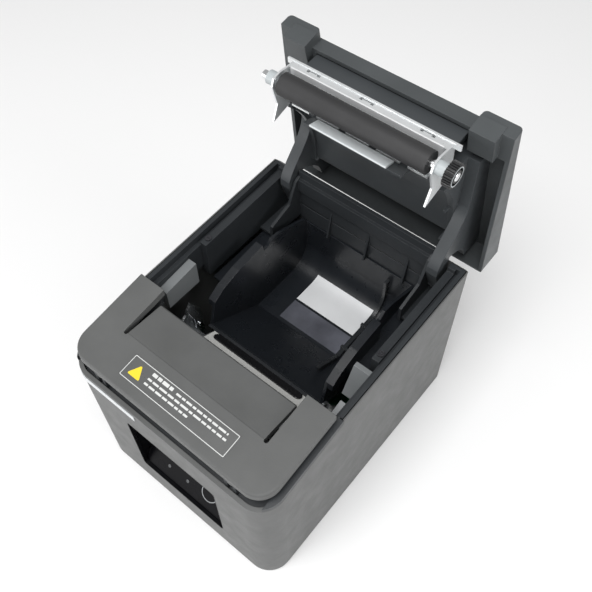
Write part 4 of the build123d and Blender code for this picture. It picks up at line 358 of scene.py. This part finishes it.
def film(bm, x0, x1, profile, thick):
    """A strip of film that follows a side profile between two values of x."""
    rows = []
    for k, (y, z) in enumerate(profile):
        before = Vector(profile[max(k - 1, 0)])
        after = Vector(profile[min(k + 1, len(profile) - 1)])
        along = (after - before).normalized()
        lift = Vector((-along.y, along.x)) * thick
        corners = ((x0, y, z), (x1, y, z), (x1, y + lift.x, z + lift.y), (x0, y + lift.x, z + lift.y))
        rows.append([bm.verts.new(Vector(corner) * MM) for corner in corners])
    for row, following in zip(rows, rows[1:]):
        join_rows(bm, row, following)
    bm.faces.new(rows[0])
    bm.faces.new(rows[-1][::-1])


def arc(cx, cy, radius, start, sweep, steps):
    """Points along an arc, both ends among them; angles in degrees."""
    angles = [math.radians(start + sweep * step / steps) for step in range(steps + 1)]
    return [(cx + radius * math.cos(angle), cy + radius * math.sin(angle)) for angle in angles]


def rounded_box(x0, x1, y0, y1, radius, steps=6):
    """Outline of a rectangle with round corners."""
    points = []
    for cx, cy, start in ((x1 - radius, y1 - radius, 0), (x0 + radius, y1 - radius, 90),
                          (x0 + radius, y0 + radius, 180), (x1 - radius, y0 + radius, 270)):
        points += arc(cx, cy, radius, start, 90, steps)
    return points


def inset_box(x0, x1, y0, y1, inset, radius):
    """Outline of a rectangle pulled in by an equal inset on all sides, with round corners."""
    return rounded_box(x0 + inset, x1 - inset, y0 + inset, y1 - inset, radius)


def circle(radius, steps=64):
    """Outline of a circle about the middle of a frame."""
    return arc(0, 0, radius, 0, 360, steps)[:-1]


def rounded_triangle(cx, cy, half, radius, steps=6):
    """Outline of an upright triangle with round corners."""
    points = []
    reach = half * 2 / math.sqrt(3) - 2 * radius
    for middle in (90, 210, 330):
        corner_x = cx + reach * math.cos(math.radians(middle))
        corner_y = cy + reach * math.sin(math.radians(middle))
        points += arc(corner_x, corner_y, radius, middle - 60, 120, steps)
    return points


def link(name, bm, material, body):
    """Turns a bmesh into a piece that rides on a body."""
    bmesh.ops.recalc_face_normals(bm, faces=bm.faces)
    mesh = bpy.data.meshes.new(name)
    bm.to_mesh(mesh)
    bm.free()
    mesh.materials.append(MATERIALS[material])
    piece = bpy.data.objects.new(name, mesh)
    scene.collection.objects.link(piece)
    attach(piece, body)
    return piece


# ---------------------------------------------------------------- marks on the front cover's label

COVER_SLOPE = math.atan(0.139)
INK_SINK = 0.02
INK_RISE = 0.05
BORDER_INSET = 0.5
BORDER_WIDTH = 0.4
TRIANGLE_INSET = 8.0
TRIANGLE_ALONG = 6.2
TRIANGLE_HALF = 4.6
BAR_GAP = 0.75
SHORTEST_BAR = 0.8
BAR_LENGTHS = (2.2, 5.6)
BAR_ROWS = ((11.4, 2.0, -22.5, -6.0), (11.0, 1.2, -4.6, 32.5), (7.9, 1.2, -23.0, 33.5), (4.9, 1.2, -23.0, 10.0))

label_low, label_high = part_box("cover_label")
label_x = (label_low[0] + label_high[0]) / 2
label_place = Matrix.Translation((label_x, label_low[1], label_low[2])) @ Matrix.Rotation(COVER_SLOPE, 4, "X")
label_half = (label_high[0] - label_low[0]) / 2 / MM
label_depth = (label_high[1] - label_low[1]) / math.cos(COVER_SLOPE) / MM
label_level = (label_place.inverted() @ Vector((label_low[0], label_high[1], label_high[2]))).z / MM
ink_levels = (label_level - INK_SINK, label_level + INK_RISE)


def label_border():
    """A thin line round the label."""
    sides = (-label_half, label_half, 0, label_depth)
    bm = bmesh.new()
    ring(bm, inset_box(*sides, BORDER_INSET, 0.6), inset_box(*sides, BORDER_INSET + BORDER_WIDTH, 0.4),
         label_place, *ink_levels)
    link("label_border", bm, "ink", "front_cover")


def label_triangle():
    """A plain triangle at the left end."""
    outline = rounded_triangle(-label_half + TRIANGLE_INSET, TRIANGLE_ALONG, TRIANGLE_HALF, 0.7)
    bm = bmesh.new()
    prism(bm, outline, label_place, *ink_levels)
    link("label_triangle", bm, "yellow", "front_cover")


def label_bars():
    """Rows of plain bars; each row is how far up the label, how tall, and where it starts and ends."""
    random.seed(7)
    bm = bmesh.new()
    for along, height, start, end in BAR_ROWS:
        x = start
        while x < end:
            stop = min(x + random.uniform(*BAR_LENGTHS), end)
            if stop - x > SHORTEST_BAR:
                bar = rounded_box(x, stop, along - height / 2, along + height / 2, 0.25, 3)
                prism(bm, bar, label_place, *ink_levels)
            x = stop + BAR_GAP
    link("label_bars", bm, "ink", "front_cover")


# ---------------------------------------------------------------- films on the floor of the well

WELL_SIDE = 43.3
GUIDE_GAP = 0.3
FLOOR_CORNER_R = 18.0
FLOOR_CORNER_Y = 68.0
CORNER_GAP = 0.1
FILM_TURN = 30
FILM_STEPS = 8
FILM_THICK = 0.2
PANEL_THICK = 0.15
PANEL_Y = (34.5, 51.2)

well_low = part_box("well_label")[0]
guide_low, guide_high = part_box("width_guide")
floor_top = well_low[2] / MM


def two_strips(name, material, profile, thick):
    """A film on both sides of the width guide."""
    bm = bmesh.new()
    film(bm, well_low[0] / MM, guide_low[0] / MM - GUIDE_GAP, profile, thick)
    film(bm, guide_high[0] / MM + GUIDE_GAP, WELL_SIDE, profile, thick)
    return link(name, bm, material, "printer")


def well_film():
    """White film that turns up with the floor at the well's rear corner."""
    radius = FLOOR_CORNER_R - CORNER_GAP
    profile = [(well_low[1] / MM, floor_top)]
    for step in range(FILM_STEPS + 1):
        angle = math.radians(FILM_TURN * step / FILM_STEPS)
        rise = radius * (1 - math.cos(angle))
        profile.append((FLOOR_CORNER_Y + radius * math.sin(angle), floor_top + rise))
    strips = two_strips("well_film", "film", profile, FILM_THICK)
    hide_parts("well_label")


def well_floor_panel():
    """A dark film in front of the white one."""
    profile = [(y, floor_top) for y in PANEL_Y]
    two_strips("well_floor_panel", "panel_film", profile, PANEL_THICK)


# ---------------------------------------------------------------- rings and the window's bezel

PANEL_TILT = math.radians(37.5)
BUTTON_RING = (6.3, 5.75)
GEAR_RING = (5.6, 5.0)
WINDOW = (-33.0, 36.0, 23.5, 83.5)
WINDOW_R = 3.0
BEZEL = 0.4
BEZEL_SINK = 0.02
FRONT_FACE = 93.0
WALL_INSIDE = 90.4
BEZEL_PROUD = 0.03


def flat_ring(name, radii, place, low, high, material, body):
    """A thin ring between two radii, lying on a flat face."""
    bm = bmesh.new()
    ring(bm, circle(radii[0]), circle(radii[1]), place, low, high)
    link(name, bm, material, body)


def feed_ring():
    """A grey ring printed on the feed button, on its sloping top."""
    normal = Vector((0, -math.cos(PANEL_TILT), math.sin(PANEL_TILT)))
    uphill = Vector((0, math.sin(PANEL_TILT), math.cos(PANEL_TILT)))
    points = [vertex.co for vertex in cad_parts["feed_button"].data.vertices]
    top = max(point.dot(normal) for point in points)
    rises = [point.dot(uphill) for point in points]
    x = (min(point.x for point in points) + max(point.x for point in points)) / 2
    middle = Vector((x, 0, 0)) + normal * top + uphill * (min(rises) + max(rises)) / 2
    place = place_by_axes(middle, (1, 0, 0), uphill, normal)
    flat_ring("feed_ring", BUTTON_RING, place, -0.05, 0.06, "ring", "feed_button")


def window_bezel():
    """A black lining round the window in the front wall."""
    place = place_by_axes((0, 0, 0), (1, 0, 0), (0, 0, 1), (0, -1, 0))
    bm = bmesh.new()
    ring(bm, inset_box(*WINDOW, -BEZEL_SINK, WINDOW_R), inset_box(*WINDOW, BEZEL, WINDOW_R - BEZEL),
         place, WALL_INSIDE, FRONT_FACE + BEZEL_PROUD)
    link("window_bezel", bm, "gloss", "printer")


def gear_ring():
    """A light ring on the face of the platen gear."""
    low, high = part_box("platen_gear")
    middle = (high[0], (low[1] + high[1]) / 2, (low[2] + high[2]) / 2)
    place = place_by_axes(middle, (0, 1, 0), (0, 0, 1), (1, 0, 0))
    flat_ring("gear_ring", GEAR_RING, place, -0.1, 0.12, "light", "platen")


# ---------------------------------------------------------------- insides of the rear sockets

CONTACT_PITCH = 1.02
CONTACT_HALF = 0.2
CONTACT_TALL = 0.5
CONTACT_DEPTHS = (-13.5, -4.0)
TONGUE_DEPTHS = (-13.0, -3.0)


def socket_place(node):
    """The middle of a socket's face, with x to the left of the printer and z out of its rear."""
    low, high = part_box(node)
    middle = ((low[0] + high[0]) / 2, high[1], (low[2] + high[2]) / 2)
    return place_by_axes(middle, (-1, 0, 0), (0, 0, 1), (0, 1, 0))


def usb_tongue():
    """The tongue inside the USB socket."""
    bm = bmesh.new()
    prism(bm, rounded_box(-2.7, 2.7, -1.4, 1.8, 0.3), socket_place("usb_port"), *TONGUE_DEPTHS)
    link("usb_tongue", bm, "white", "printer")


def socket_contacts(node, count, level):
    """A row of gilt contacts under the roof of a socket."""
    bm = bmesh.new()
    for k in range(count):
        x = (k - (count - 1) / 2) * CONTACT_PITCH
        strip = rounded_box(x - CONTACT_HALF, x + CONTACT_HALF, level - CONTACT_TALL, level, 0.05, 2)
        prism(bm, strip, socket_place(node), *CONTACT_DEPTHS)
    link(node + "_contacts", bm, "gold", "printer")


# ---------------------------------------------------------------- floor, light, camera

FLOOR_HALF = 3.0
CENTRE = (0.0, 0.0, 0.09)
CAMERA_PLACE = (0.16404, -0.17175, 0.47748)
AZIMUTH = math.radians(40.396)
ELEVATION = math.radians(55.005)
ROLL = math.radians(-1.159)
FOCAL_LENGTH = 45.37
SENSOR_WIDTH = 36.0
SHIFT = (0.00106, -0.0050)
NEAREST = 0.01


def paper_floor():
    """The white sheet that the printer stands on."""
    mesh = bpy.data.meshes.new("floor")
    corners = [(x * FLOOR_HALF, y * FLOOR_HALF, 0) for x, y in ((-1, -1), (1, -1), (1, 1), (-1, 1))]
    mesh.from_pydata(corners, [], [(0, 1, 2, 3)])
    floor = bpy.data.objects.new("floor", mesh)
    scene.collection.objects.link(floor)
    material, _, shader = new_material("floor_paper")
    shader.inputs["Base Color"].default_value = (0.86, 0.86, 0.86, 1.0)
    shader.inputs["Roughness"].default_value = 0.9
    mesh.materials.append(material)


def studio_world():
    """Even white light from all round."""
    world = bpy.data.worlds.new("studio")
    world.use_nodes = True
    background = world.node_tree.nodes["Background"]
    background.inputs["Color"].default_value = (1.0, 1.0, 1.0, 1.0)
    background.inputs["Strength"].default_value = 0.45
    scene.world = world


def area_light(name, place, size, power):
    """A soft rectangular light that faces the printer."""
    lamp = bpy.data.lights.new(name, "AREA")
    lamp.shape = "RECTANGLE"
    lamp.size, lamp.size_y = size
    lamp.energy = power
    holder = bpy.data.objects.new(name, lamp)
    holder.location = place
    holder.rotation_euler = (Vector(CENTRE) - Vector(place)).to_track_quat("-Z", "Y").to_euler()
    scene.collection.objects.link(holder)


def main_camera():
    """The camera, from its azimuth, elevation and roll about the line of sight."""
    flat = math.cos(ELEVATION)
    back = Vector((math.sin(AZIMUTH) * flat, -math.cos(AZIMUTH) * flat, math.sin(ELEVATION)))
    right = (-back).cross(Vector((0, 0, 1))).normalized()
    up = right.cross(-back)
    rolled_right = math.cos(ROLL) * right + math.sin(ROLL) * up
    rolled_up = -math.sin(ROLL) * right + math.cos(ROLL) * up
    lens = bpy.data.cameras.new("camera")
    lens.lens = FOCAL_LENGTH
    lens.sensor_width = SENSOR_WIDTH
    lens.shift_x, lens.shift_y = SHIFT
    lens.clip_start = NEAREST
    camera = bpy.data.objects.new("camera", lens)
    camera.matrix_world = place_by_axes(CAMERA_PLACE, rolled_right, rolled_up, back)
    scene.collection.objects.link(camera)
    scene.camera = camera


# ---------------------------------------------------------------- the whole scene

label_border()
label_triangle()
label_bars()
well_film()
well_floor_panel()
feed_ring()
window_bezel()
gear_ring()
usb_tongue()
socket_contacts("lan_port", 8, 3.6)
socket_contacts("cash_drawer_port", 6, 3.0)

scene.view_settings.view_transform = "Standard"
paper_floor()
studio_world()
area_light("key", (-0.6, -1.15, 0.35), (1.0, 0.7), 6.5)
area_light("side", (1.15, 0.1, 0.45), (0.7, 0.7), 5.0)
area_light("top", (0.1, -0.5, 1.35), (0.8, 0.8), 16.0)
main_camera()
